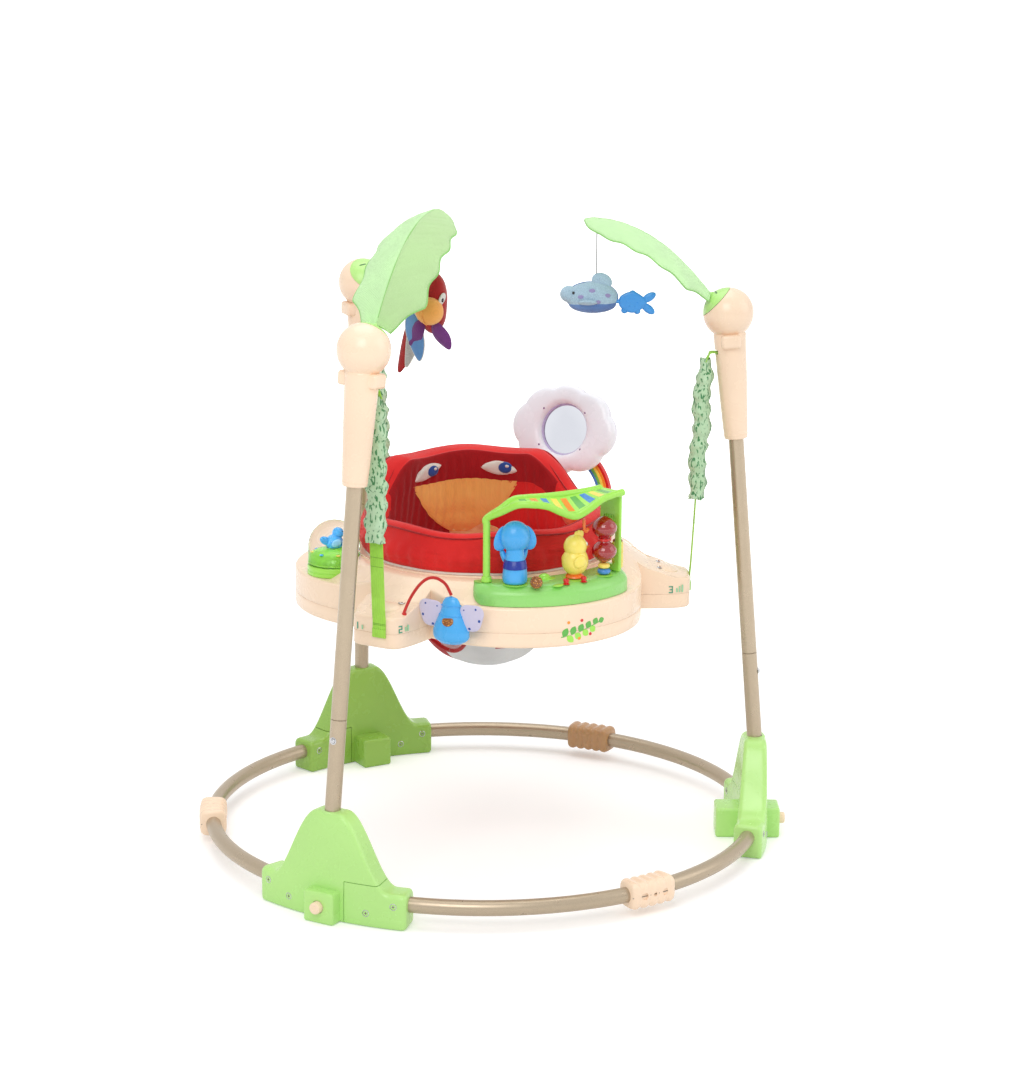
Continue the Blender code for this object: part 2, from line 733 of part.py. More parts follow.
def slot_point():
    """Mouth of the strap slot on the tower's inner side, in the leg's frame."""
    depth = TOWER_NECK_RADIUS + GAP
    return POST_FRAME @ Vector((-depth, 0, post_length() - SLOT_BELOW_BALL))


def sleeve_foot():
    return Vector((SLEEVE_FOOT_REACH, STRAP_SIDE, SLEEVE_FOOT_HEIGHT))


def sleeve_mesh():
    """Gathered cloth sleeve, with the short webbing above it that enters the tower."""
    top = slot_point() + Vector((-0.012, 0, 0.002))
    foot = sleeve_foot()
    steps = SLEEVE_GATHERS * 3
    sheath_top = top + (foot - top) * (SLEEVE_TOP_DROP / (top - foot).length)
    rings = []
    for i in range(steps + 1):
        share = i / steps
        centre = sheath_top.lerp(foot, share)
        swell = math.sin(math.pi * min(1.0, 0.12 + share * 0.95)) ** 0.5
        ruffle = 1.0 + 0.13 * math.cos(2 * math.pi * SLEEVE_GATHERS * share)
        reach = SLEEVE_RADIUS * (0.45 + 0.55 * swell) * ruffle
        lean = 0.0016 * math.sin(5.0 * share * math.pi)
        rings.append([centre + Vector((0.85 * reach * math.cos(a) + lean, reach * math.sin(a), 0))
                      for a in [2 * math.pi * k / 10 for k in range(10)]])
    mouth = slot_point() + Vector((0, 0, -SLOT_HEIGHT / 2 + STRAP_THICKNESS / 2 + 0.0013))
    bend = mouth + Vector((-0.005, 0, 0))
    low = sheath_top + Vector((0, 0, -0.004))
    web = webbing([mouth + Vector((0.008, 0, 0)), bend, bend.lerp(low, 0.4), low])
    return union(loft(rings), web)


def webbing(points):
    """Flat strap along points in the plane of a leg."""
    rings = []
    for i, point in enumerate(points):
        before = points[max(0, i - 1)]
        after = points[min(len(points) - 1, i + 1)]
        run = (after - before).normalized()
        normal = run.cross(Vector((0, 1, 0))).normalized() * (STRAP_THICKNESS / 2)
        side = Vector((0, STRAP_WIDTH / 2, 0))
        rings.append([point - side - normal, point + side - normal,
                      point + side + normal, point - side + normal])
    return loft(rings)


def strap_mesh():
    """Lower strap from the sleeve to the outer face of its tray arm."""
    face = ARM_REACH + GAP + STRAP_THICKNESS / 2
    arm_top = DECK_HEIGHT - ARM_DROP
    foot = sleeve_foot()
    points = [foot + Vector((0, 0, -GAP)), Vector((face + 0.0012, STRAP_SIDE, arm_top + 0.012)),
              Vector((face, STRAP_SIDE, arm_top - 0.003)), Vector((face, STRAP_SIDE, STRAP_FOOT_HEIGHT))]
    return webbing(points)


# Tray

def sector_angles():
    """Azimuths round the tray, closer together at the strap arms."""
    near = [0.0, 4.5, 7.4, 9.0, 10.6, 11.9, 16.0, 22.0, 29.0, 36.5, 44.0, 52.0]
    sector = [-a for a in reversed(near[1:])] + near + [60.0]
    return [azimuth + turn for turn in LEG_AZIMUTHS.values() for azimuth in sector]


def tray_outline(azimuth):
    """Distance of the tray's edge from the axis at an azimuth in degrees."""
    reach = COLLAR_REACH
    for leg in LEG_AZIMUTHS.values():
        arm = math.radians((azimuth - leg + 180.0) % 360.0 - 180.0)
        if abs(arm) < math.radians(50):
            along = (abs(math.cos(arm)) / ARM_REACH) ** ARM_SQUARENESS
            across = (abs(math.sin(arm)) / ARM_HALF_WIDTH) ** ARM_SQUARENESS
            reach = max(reach, (along + across) ** (-1.0 / ARM_SQUARENESS))
        lobe = math.radians(azimuth - leg - 60.0)
        chord = LOBE_RADIUS ** 2 - (LOBE_CENTRE * math.sin(lobe)) ** 2
        reach = max(reach, LOBE_CENTRE * math.cos(lobe) + math.sqrt(chord))
    return reach


def deck_height(azimuth, reach):
    """Height of the tray's top: flat lobes, dropped arms, a raised collar."""
    height = DECK_HEIGHT
    for leg in LEG_AZIMUTHS.values():
        arm = math.radians((azimuth - leg + 180.0) % 360.0 - 180.0)
        if abs(arm) < math.radians(11.95):
            height -= ARM_DROP * smoothstep(DECK_INNER_REACH, ARM_REACH - 0.012, reach)
    t = (DECK_INNER_REACH - reach) / (DECK_INNER_REACH - COLLAR_REACH)
    return height + (COLLAR_HEIGHT - DECK_HEIGHT) * min(1.0, max(0.0, t))


def tray_rings(profile):
    """Rings of the tray from (reach, height) functions of the azimuth."""
    azimuths = sector_angles()
    return [[polar(reach(a), a, height(a)) for a in azimuths] for reach, height in profile]


def tray_top_mesh():
    edge = TRAY_EDGE_RADIUS

    def inset(amount, limit=None):
        return lambda a: min(tray_outline(a) - amount, limit or 1.0)

    def deck(reach):
        return lambda a: deck_height(a, reach(a))

    rim = inset(0.0)
    shoulder = inset(edge * 0.3)
    top = inset(edge)
    slope = inset(edge + 0.005, DECK_INNER_REACH + 0.020)
    start = inset(edge + 0.008, DECK_INNER_REACH)
    collar = inset(edge + 0.012, COLLAR_REACH)
    hole = lambda a: SEAT_HOLE_RADIUS
    profile = [(rim, lambda a: TRAY_SEAM + GAP), (rim, lambda a: deck_height(a, rim(a)) - edge),
               (shoulder, lambda a: deck_height(a, top(a)) - edge * 0.3), (top, deck(top)),
               (slope, deck(slope)), (start, deck(start)), (collar, deck(collar)),
               (lambda a: SEAT_HOLE_RADIUS + 0.003, lambda a: COLLAR_HEIGHT),
               (hole, lambda a: COLLAR_HEIGHT - 0.002), (hole, lambda a: TRAY_SEAM + GAP)]
    inside = inset(TRAY_WALL)
    liner = lambda a: SEAT_HOLE_RADIUS + TRAY_WALL
    profile += [(liner, lambda a: TRAY_SEAM + GAP), (liner, lambda a: COLLAR_HEIGHT - TRAY_WALL),
                (start, lambda a: deck_height(a, start(a)) - TRAY_WALL),
                (inside, lambda a: deck_height(a, inside(a)) - edge * 1.5), (inside, lambda a: TRAY_SEAM + GAP)]
    tray = loft(tray_rings(profile), closed=True)
    pocket = turned([(0, DECK_HEIGHT), (DOME_RADIUS + PIN_GAP, DECK_HEIGHT),
                     (DOME_RADIUS + PIN_GAP, COLLAR_HEIGHT + 0.01), (0, COLLAR_HEIGHT + 0.01)], 24)
    tray = cut_away(tray, moved(pocket, Matrix.Translation(polar(DOME_REACH, DOME_AZIMUTH, 0))))
    for foot in loop_ends()[:1]:
        hole_mesh = turned([(0, -TOY_PIN_DEPTH - PIN_GAP), (LOOP_RADIUS + PIN_GAP, -TOY_PIN_DEPTH - PIN_GAP),
                            (LOOP_RADIUS + PIN_GAP, 0.02), (0, 0.02)], 12)
        tray = cut_away(tray, moved(hole_mesh, Matrix.Translation(foot)))
    return tray


def tray_base_mesh():
    """Lower shell with a recess under it, leaving a rib along each edge."""
    edge = TRAY_EDGE_RADIUS

    def outline(inset, height):
        return (lambda a: tray_outline(a) - inset, lambda a: height)

    def hole(offset, height):
        return (lambda a: SEAT_HOLE_RADIUS + offset, lambda a: height)

    roof = TRAY_BOTTOM + TRAY_RECESS
    profile = [outline(0, TRAY_SEAM), outline(0, TRAY_BOTTOM + edge), outline(edge * 0.3, TRAY_BOTTOM + edge * 0.3),
               outline(edge, TRAY_BOTTOM), outline(TRAY_RIB_WIDTH, TRAY_BOTTOM), outline(TRAY_RIB_WIDTH + 0.002, roof),
               hole(TRAY_RIB_WIDTH + 0.002, roof), hole(TRAY_RIB_WIDTH, TRAY_BOTTOM), hole(0.002, TRAY_BOTTOM),
               hole(0, TRAY_BOTTOM + 0.002), hole(0, TRAY_SEAM)]
    return loft(tray_rings(profile), closed=True)


# Seat

def seat_ring_mesh():
    inner = SEAT_HOLE_RADIUS - GAP * 3
    flange = COLLAR_HEIGHT + GAP
    top = flange + SEAT_RING_FLANGE_THICKNESS
    bore = inner - SEAT_RING_WALL
    foot = flange - SEAT_RING_DROP
    return turned([(bore, foot), (inner, foot), (inner, flange), (SEAT_RING_FLANGE, flange),
                   (SEAT_RING_FLANGE, top), (bore, top)], 36, closed=True)


def back_share(azimuth):
    """1 over the backrest, 0 round the front and sides of the seat."""
    return smoothstep(0.30, 0.72, math.cos(math.radians(azimuth - SEAT_BACK_AZIMUTH)))


def sling_reach(azimuth, height, inset):
    """Distance from the axis of the hanging cloth at a height."""
    mouth = SEAT_HOLE_RADIUS - GAP * 3 - SEAT_RING_WALL - 0.0015
    depth = (COLLAR_HEIGHT - height) / (COLLAR_HEIGHT - SEAT_BOTTOM)
    turn = math.radians(azimuth - SEAT_BACK_AZIMUTH)
    along = (math.cos(turn) / SEAT_BOTTOM_HALF_LENGTH) ** 2
    across = (math.sin(turn) / SEAT_BOTTOM_HALF_WIDTH) ** 2
    bottom = (along + across) ** -0.5
    share = max(0.0, depth) ** 1.7
    return mouth + (bottom - mouth) * min(1.0, share) - inset


def seat_fabric_mesh():
    """Padded rim with a raised backrest, and the sling under it, as one cloth shell."""
    cloth = SEAT_CLOTH
    lip = COLLAR_HEIGHT + GAP + SEAT_RING_FLANGE_THICKNESS + GAP
    azimuths = [360.0 * i / 36 for i in range(36)]
    depths = (0.0, 0.14, 0.34, 0.58, 0.80, 0.93)
    drop = COLLAR_HEIGHT - SEAT_BOTTOM

    def ring(reach, height):
        return [polar(reach(a), a, height(a)) for a in azimuths]

    def crest(a):
        return SEAT_RIM_TOP + SEAT_BACK_RISE * back_share(a) + 0.0025 * math.sin(math.radians(a * 6))

    inner = []
    for depth in reversed(depths[1:]):
        height = COLLAR_HEIGHT - depth * (drop - cloth)
        inner.append(ring(lambda a, h=height: sling_reach(a, h, cloth), lambda a, h=height: h))
    floor = ring(lambda a: sling_reach(a, SEAT_BOTTOM, 0.014 + cloth), lambda a: SEAT_BOTTOM + cloth)
    rim = [
        ring(lambda a: 0.140 - 0.010 * back_share(a), lambda a: COLLAR_HEIGHT + 0.020),
        ring(lambda a: 0.146 - 0.016 * back_share(a), lambda a: crest(a) - 0.014),
        ring(lambda a: 0.154 - 0.016 * back_share(a), lambda a: crest(a) - 0.003),
        ring(lambda a: 0.163 - 0.013 * back_share(a), crest),
        ring(lambda a: 0.172 - 0.010 * back_share(a), lambda a: crest(a) - 0.005),
        ring(lambda a: SEAT_RIM_REACH - 0.007 - 0.006 * back_share(a), lambda a: crest(a) - 0.020),
        ring(lambda a: SEAT_RIM_REACH + 0.002 * math.sin(math.radians(a * 6)), lambda a: lip + 0.018),
        ring(lambda a: SEAT_RIM_REACH - 0.004, lambda a: lip + 0.002),
        ring(lambda a: SEAT_RING_FLANGE - 0.002, lambda a: lip),
        ring(lambda a: sling_reach(a, COLLAR_HEIGHT, 0.0), lambda a: lip),
    ]
    outer = []
    for depth in depths[1:]:
        height = COLLAR_HEIGHT - depth * drop
        outer.append(ring(lambda a, h=height: sling_reach(a, h, 0.0), lambda a, h=height: h))
    under = ring(lambda a: sling_reach(a, SEAT_BOTTOM, 0.012), lambda a: SEAT_BOTTOM)
    seat = loft([floor] + inner + rim + outer + [under])
    for side in (-1, 1):
        azimuth = SEAT_BACK_AZIMUTH + 180.0 + side * LEG_HOLE_AZIMUTH
        hole = turned([(0, 0.045), (1, 0.045), (1, 0.20), (0, 0.20)], 16)
        hole.transform(Matrix.Diagonal((LEG_HOLE_HALF_HEIGHT, LEG_HOLE_HALF_WIDTH, 1, 1)))
        turn = Matrix.Translation((0, 0, LEG_HOLE_HEIGHT)) @ rotation(azimuth, "Z")
        seat = cut_away(seat, moved(hole, turn @ rotation(90, "Y")))
    return seat


# Pond plate and bridge

def pond_section(azimuth, shrink):
    """Closed (reach, height) section of the pond plate, following the deck under it."""
    outer = tray_outline(azimuth) - POND_MARGIN - shrink
    clear = 4 * PIN_GAP
    low = DECK_HEIGHT + 2 * GAP
    inner = COLLAR_REACH + 0.001 + shrink * 0.5
    slope = (COLLAR_HEIGHT - DECK_HEIGHT) / (DECK_INNER_REACH - COLLAR_REACH)
    inner_low = COLLAR_HEIGHT + clear - max(0.0, inner - COLLAR_REACH) * slope + 0.0004
    return [(outer, low), (DECK_INNER_REACH + clear, low), (inner, inner_low),
            (inner, POND_TOP - 0.002), (inner + 0.002, POND_TOP), ((inner + outer) / 2, POND_TOP + 0.0008),
            (outer - 0.010, POND_TOP - 0.001), (outer - 0.003, POND_LIP + 0.006), (outer, POND_LIP)]


def pond_mesh():
    steps = 13
    rings = []
    for i in range(steps + 1):
        azimuth = POND_START_DEG + (POND_END_DEG - POND_START_DEG) * i / steps
        end = min(i, steps - i)
        shrink = (0.010, 0.003, 0.0005)[end] if end < 3 else 0.0
        rings.append([polar(reach, azimuth, height) for reach, height in pond_section(azimuth, shrink)])
    pond = loft(rings)
    mound = ellipsoid((0.009, 0.009, 0.007), polar(0.220, 263.0, POND_TOP), None, 8, 6)
    pond = union(pond, mound)
    for reach, azimuth in toy_places():
        pin = turned([(0, -TOY_PIN_DEPTH - PIN_GAP), (TOY_PIN_RADIUS + PIN_GAP, -TOY_PIN_DEPTH - PIN_GAP),
                      (TOY_PIN_RADIUS + PIN_GAP, 0.02), (0, 0.02)], 12)
        pond = cut_away(pond, moved(pin, Matrix.Translation(polar(reach, azimuth, POND_TOP))))
    return pond


def toy_places():
    return [(FIGURE_REACH, FIGURE_AZIMUTH), (BIRD_REACH, BIRD_AZIMUTH),
            (SPINNER_REACH, SPINNER_AZIMUTH), (ROLLER_REACH, ROLLER_AZIMUTH)]


def rail(reach, dip):
    """Points of a bridge rail from its left end to its right end."""
    points = []
    for i in range(11):
        share = i / 10
        azimuth = BRIDGE_START_DEG + (BRIDGE_END_DEG - BRIDGE_START_DEG) * share
        spread = min(1.0, share / 0.25)
        out = BRIDGE_LEG_REACH + (reach - BRIDGE_LEG_REACH) * spread
        bend = 0.022 * (1.0 - smoothstep(0.0, 0.22, share))
        sag = dip * math.exp(-((share - 0.60) / 0.16) ** 2)
        points.append(polar(out, azimuth, BRIDGE_TOP - bend - sag))
    return points


def bridge_mesh():
    """Lime arch: one leg, two rails with a sloping panel between them, an end panel."""
    back = rail(BRIDGE_BACK_REACH, 0.0)
    front = rail(BRIDGE_FRONT_REACH, BRIDGE_DIP)
    foot = polar(BRIDGE_LEG_REACH, BRIDGE_START_DEG, POND_TOP + GAP * 4)
    leg = [foot + (back[0] - foot) * t for t in (0.0, 0.5, 0.9)]
    pieces = [tube(leg + back, BRIDGE_RAIL_RADIUS, 2), tube(leg[2:] + front, BRIDGE_RAIL_RADIUS, 2)]
    rings = []
    for inner, outer in list(zip(back, front))[1:]:
        run = (outer - inner).normalized()
        start = inner + run * BRIDGE_RAIL_RADIUS * 0.3
        end = outer - run * BRIDGE_RAIL_RADIUS * 0.3
        rise = Vector((0, 0, BRIDGE_PANEL / 2))
        rings.append([start - rise, end - rise, end + rise, start + rise])
    pieces.append(loft(rings))
    height = BRIDGE_TOP - POND_TOP
    top_middle = polar((BRIDGE_BACK_REACH + BRIDGE_FRONT_REACH) / 2, BRIDGE_END_DEG, 0)
    end = box((BRIDGE_END_WIDTH, BRIDGE_END_THICKNESS, height), (0, 0, POND_TOP + height / 2 + GAP * 4), 0.002)
    window = box((BRIDGE_END_WIDTH - 0.016, 0.02, height * 0.62), (0, 0, POND_TOP + height * 0.40), 0.0)
    end = cut_away(end, window)
    turn = Matrix.Translation(top_middle) @ rotation(BRIDGE_END_DEG, "Z")
    pieces.append(moved(end, turn))
    return union(*pieces)


def toy_pin():
    return turned([(0, -TOY_PIN_DEPTH), (TOY_PIN_RADIUS, -TOY_PIN_DEPTH),
                   (TOY_PIN_RADIUS, 0.006), (0, 0.006)], 12)


def figure_mesh():
    """Upright elephant with round ears, standing on a pin."""
    head = FIGURE_HEIGHT - FIGURE_HEAD_RADIUS
    body = turned([(0, GAP * 5), (FIGURE_BODY_RADIUS, GAP * 5), (FIGURE_BODY_RADIUS * 1.05, 0.012),
                   (FIGURE_BODY_RADIUS * 0.85, 0.032), (FIGURE_BODY_RADIUS * 0.6, head), (0, head + 0.004)])
    skull = ellipsoid((FIGURE_HEAD_RADIUS * 0.86, FIGURE_HEAD_RADIUS, FIGURE_HEAD_RADIUS * 1.05), (0, 0, head - 0.001))
    ears = [ellipsoid((0.004, 0.010, 0.015), (-0.004, side * 0.0190, head - 0.003), rotation(side * 18, "X"), 10, 6)
            for side in (-1, 1)]
    trunk = [Vector((-0.016, 0, head - 0.004)), Vector((-0.025, 0, head - 0.010)),
             Vector((-0.028, 0, head - 0.022)), Vector((-0.025, 0, head - 0.031))]
    shape = union(body, skull, *ears, tube(trunk, 0.0055, 2), toy_pin())
    turn = Matrix.Translation(polar(FIGURE_REACH, FIGURE_AZIMUTH, POND_TOP)) @ rotation(FIGURE_AZIMUTH, "Z")
    return moved(shape, turn)


def bird_mesh():
    """Round chick with a crest and beak, on a spinning pin."""
    head = BIRD_HEIGHT - BIRD_RADIUS * 0.85
    body = ellipsoid((BIRD_RADIUS * 0.92, BIRD_RADIUS, BIRD_HEIGHT * 0.33), (0, 0, BIRD_HEIGHT * 0.40))
    skull = ellipsoid((BIRD_RADIUS * 0.85, BIRD_RADIUS * 0.85, BIRD_RADIUS * 0.85), (0, 0, head))
    crest = ellipsoid((0.004, 0.009, 0.006), (0, 0.006, head + BIRD_RADIUS * 0.8), None, 8, 6)
    beak = ellipsoid((0.005, 0.009, 0.004), (0, BIRD_RADIUS * 0.95, head - 0.003), None, 8, 6)
    feet = turned([(0, GAP * 5), (0.013, GAP * 5), (0.011, 0.006), (0, 0.010)], 12)
    shape = union(body, skull, crest, beak, feet, toy_pin())
    turn = Matrix.Translation(polar(BIRD_REACH, BIRD_AZIMUTH, POND_TOP)) @ rotation(BIRD_AZIMUTH, "Z")
    return moved(shape, turn)


def spinner_mesh():
    """Figure-eight rattle over two beads, on one upright axle."""
    base = SPINNER_BEADS
    profile = [(0, GAP * 5), (0.006, GAP * 5), (0.0095, base * 0.5), (0.005, base)]
    for i in range(1, 12):
        share = i / 12
        lobe = abs(math.sin(2 * math.pi * share)) ** 0.55
        profile.append((max(0.008 if 0.4 < share < 0.6 else 0.004, SPINNER_RADIUS * lobe),
                        base + SPINNER_HEIGHT * share))
    profile.append((0, base + SPINNER_HEIGHT))
    shape = union(turned(profile), toy_pin())
    return moved(shape, Matrix.Translation(polar(SPINNER_REACH, SPINNER_AZIMUTH, POND_TOP)))


def roller_mesh():
    """Upright barrel beside the bridge's end panel."""
    edge = ROLLER_RADIUS * 0.75
    barrel = turned([(0, GAP * 5), (edge, GAP * 5), (ROLLER_RADIUS, 0.004),
                     (ROLLER_RADIUS, ROLLER_HEIGHT - 0.003), (edge, ROLLER_HEIGHT), (0, ROLLER_HEIGHT)])
    return moved(union(barrel, toy_pin()), Matrix.Translation(polar(ROLLER_REACH, ROLLER_AZIMUTH, POND_TOP)))


# Dome toy

def dome_place():
    return Matrix.Translation(polar(DOME_REACH, DOME_AZIMUTH, DECK_HEIGHT))


def dome_base_mesh():
    top = DOME_BASE_HEIGHT
    pin = TOY_PIN_RADIUS + PIN_GAP
    floor = top - TOY_PIN_DEPTH - PIN_GAP
    base = turned([(0, GAP), (DOME_RADIUS, GAP), (DOME_RADIUS, top - 0.001), (DOME_RADIUS - 0.001, top),
                   (pin, top), (pin, floor), (0, floor)], 20)
    return moved(base, dome_place())


def dome_cover_mesh():
    """Clear bell over the hill, standing on the base's rim."""
    outer = DOME_RADIUS - 0.001
    inner = outer - DOME_WALL
    foot = DOME_BASE_HEIGHT + GAP
    spring = DOME_BASE_HEIGHT + DOME_STRAIGHT
    angles = [math.radians(90.0 * i / 5) for i in range(6)]
    outside = [(outer * math.cos(a), spring + outer * math.sin(a)) for a in angles[:-1]] + [(0, spring + outer)]
    inside = [(inner * math.cos(a), spring + inner * math.sin(a)) for a in angles[:-1]] + [(0, spring + inner)]
    return moved(turned([*reversed(inside), (inner, foot), (outer, foot), *outside], 20), dome_place())


def dome_figure_mesh():
    """Turning hill with a little bird figure on top."""
    foot = DOME_BASE_HEIGHT + GAP
    reach = DOME_RADIUS - 0.001 - DOME_WALL - 0.002
    hill = turned([(0, foot), (reach, foot), (reach * 0.92, foot + HILL_HEIGHT * 0.45),
                   (reach * 0.62, foot + HILL_HEIGHT * 0.85), (0, foot + HILL_HEIGHT)], 14)
    crown = foot + HILL_HEIGHT
    body = ellipsoid((HILL_FIGURE_RADIUS, HILL_FIGURE_RADIUS * 0.8, HILL_FIGURE_RADIUS * 0.9),
                     (0, 0, crown + HILL_FIGURE_RADIUS * 0.5))
    head = ellipsoid((0.007, 0.007, 0.007), (0.005, 0, crown + HILL_FIGURE_RADIUS * 1.5), None, 8, 6)
    tail = ellipsoid((0.009, 0.003, 0.005), (-0.012, 0, crown + HILL_FIGURE_RADIUS * 0.8), rotation(30, "Y"), 8, 6)
    pin = moved(toy_pin(), Matrix.Translation((0, 0, DOME_BASE_HEIGHT)))
    return moved(union(hill, body, head, tail, pin), dome_place())


# Cloud mirror

def cloud_frame():
    """Frame at the cloud's centre: +X towards the seat, +Z up the tilted face."""
    turn = rotation(LOBE_AZIMUTH + 180.0, "Z") @ rotation(-CLOUD_TILT_DEG, "Y")
    return Matrix.Translation(polar(CLOUD_REACH, LOBE_AZIMUTH, CLOUD_HEIGHT)) @ turn


def cloud_edge(angle):
    across = (math.cos(angle) / CLOUD_HALF_WIDTH) ** 2
    up = (math.sin(angle) / CLOUD_HALF_HEIGHT) ** 2
    return (across + up) ** -0.5 + CLOUD_SCALLOP_DEPTH * math.cos(CLOUD_SCALLOPS * angle)


def cloud_mesh():
    """Puffed oval frame with scalloped edge, and the plate behind its window."""
    rings = []
    for i in range(32):
        angle = 2 * math.pi * i / 32
        outer = cloud_edge(angle)
        middle = (outer + CLOUD_HOLE_RADIUS) / 2
        half = (outer - CLOUD_HOLE_RADIUS) / 2
        section = []
        for k in range(8):
            turn = 2 * math.pi * k / 8
            reach = middle + half * math.copysign(abs(math.cos(turn)) ** 0.7, math.cos(turn))
            depth = CLOUD_THICKNESS / 2 * math.copysign(abs(math.sin(turn)) ** 0.8, math.sin(turn))
            section.append(Vector((depth, reach * math.cos(angle), reach * math.sin(angle))))
        rings.append(section)
    plate = turned([(0, -CLOUD_PLATE / 2), (CLOUD_HOLE_RADIUS + 0.004, -CLOUD_PLATE / 2),
                    (CLOUD_HOLE_RADIUS + 0.004, CLOUD_PLATE / 2), (0, CLOUD_PLATE / 2)], 16)
    plate = moved(plate, Matrix.Translation((-CLOUD_THICKNESS * 0.2, 0, 0)) @ rotation(90, "Y"))
    return moved(union(loft(rings, closed=True), plate), cloud_frame())


def arch_plane():
    """Distance from the axis to the front of the rainbow arch."""
    behind = CLOUD_THICKNESS / 2 / math.cos(math.radians(CLOUD_TILT_DEG))
    crown = ARCH_SPRING_HEIGHT + ARCH_RADIUS + ARCH_BAND / 2
    lean = (crown - CLOUD_HEIGHT) * math.tan(math.radians(CLOUD_TILT_DEG))
    return CLOUD_REACH + behind + lean - ARCH_SEAT


def arch_mesh():
    """Rainbow band: two short legs and a half ring, standing on the right lobe."""
    inner = ARCH_RADIUS - ARCH_BAND / 2
    outer = ARCH_RADIUS + ARCH_BAND / 2
    drop = ARCH_SPRING_HEIGHT - DECK_HEIGHT - GAP * 2
    stations = [(0.0, -drop)] + [(180.0 * i / 14, 0.0) for i in range(15)] + [(180.0, -drop)]
    rings = []
    for degrees, shift in stations:
        turn = math.radians(degrees)
        corners = [(reach, depth) for reach, depth in ((inner, 0.0), (outer, 0.0), (outer, ARCH_THICKNESS),
                                                       (inner, ARCH_THICKNESS))]
        rings.append([Vector((depth, reach * math.cos(turn), reach * math.sin(turn) + shift))
                      for reach, depth in corners])
    turn = Matrix.Translation(polar(arch_plane(), LOBE_AZIMUTH, ARCH_SPRING_HEIGHT)) @ rotation(LOBE_AZIMUTH, "Z")
    return moved(loft(rings), turn)


# Bug toy

def bug_wall():
    """Point of the tray's edge behind the bug and the edge's outward direction."""
    here = polar(tray_outline(BUG_AZIMUTH), BUG_AZIMUTH, 0)
    before = polar(tray_outline(BUG_AZIMUTH - 4), BUG_AZIMUTH - 4, 0)
    after = polar(tray_outline(BUG_AZIMUTH + 4), BUG_AZIMUTH + 4, 0)
    run = (after - before).normalized()
    return here, Vector((run.y, -run.x, 0))


def bug_frame():
    """Frame at the top of the bug: +X away from the tray, +Z up."""
    here, outward = bug_wall()
    side = Vector((-outward.y, outward.x, 0))
    turn = Matrix((outward, side, Vector((0, 0, 1)))).transposed().to_4x4()
    centre = here + outward * (BUG_RADIUS * BUG_FLATNESS + 0.004)
    return Matrix.Translation(centre + Vector((0, 0, BUG_TOP))) @ turn


def bug_mesh():
    """Bell-shaped body, flat towards the tray, with two soft wings."""
    profile = [(0, -BUG_HEIGHT), (BUG_RADIUS * 0.62, -BUG_HEIGHT), (BUG_RADIUS * 0.95, -BUG_HEIGHT * 0.90),
               (BUG_RADIUS, -BUG_HEIGHT * 0.74), (BUG_RADIUS * 0.80, -BUG_HEIGHT * 0.52),
               (BUG_RADIUS * 0.55, -BUG_HEIGHT * 0.30), (BUG_RADIUS * 0.52, -BUG_HEIGHT * 0.12),
               (BUG_RADIUS * 0.35, -0.001), (0, 0)]
    bell = turned(profile)
    bell.transform(Matrix.Diagonal((BUG_FLATNESS, 1, 1, 1)))
    wings = []
    for side in (-1, 1):
        centre = (0, side * (BUG_RADIUS * 0.5 + BUG_WING_LENGTH * 0.55), -BUG_HEIGHT * 0.42)
        wings.append(ellipsoid((BUG_WING_THICKNESS / 2, BUG_WING_LENGTH * 0.75, BUG_WING_HEIGHT / 2), centre,
                               rotation(side * 38, "X"), 10, 6))
    return moved(union(bell, *wings), bug_frame())


def loop_ends():
    """Foot of the bug's loop on the tray arm, and its end over the bug."""
    reach = tray_outline(LOOP_FOOT_AZIMUTH) - 0.014
    foot = polar(reach, LOOP_FOOT_AZIMUTH, deck_height(LOOP_FOOT_AZIMUTH, reach))
    over = bug_frame().translation + Vector((0, 0, LOOP_RADIUS * 0.4 + GAP))
    return [foot, over]


def loop_mesh():
    foot, over = loop_ends()
    points = [foot - Vector((0, 0, TOY_PIN_DEPTH)), foot + Vector((0, 0, 0.003))]
    for i in range(1, 9):
        share = i / 9
        height = foot.z + 0.003 + (over.z - foot.z) * share + LOOP_RISE * math.sin(math.pi * share) ** 0.8
        point = foot.lerp(over, share)
        points.append(Vector((point.x, point.y, height)))
    points.append(over)
    return tube(points, LOOP_RADIUS, 2)


# Hanging toys

def hang_point(leg):
    """Where a toy's string meets the underside of its leaf, in the leg's frame."""
    return leaf_rib(HANG_SHARE, LEAF_RISES[leg]) - Vector((0, 0, LEAF_THICKNESS * 0.5 + GAP * 2.6))


def hanging_string(length):
    return turned([(0, -length), (STRING_RADIUS, -length), (STRING_RADIUS, 0), (0, 0)], 8)


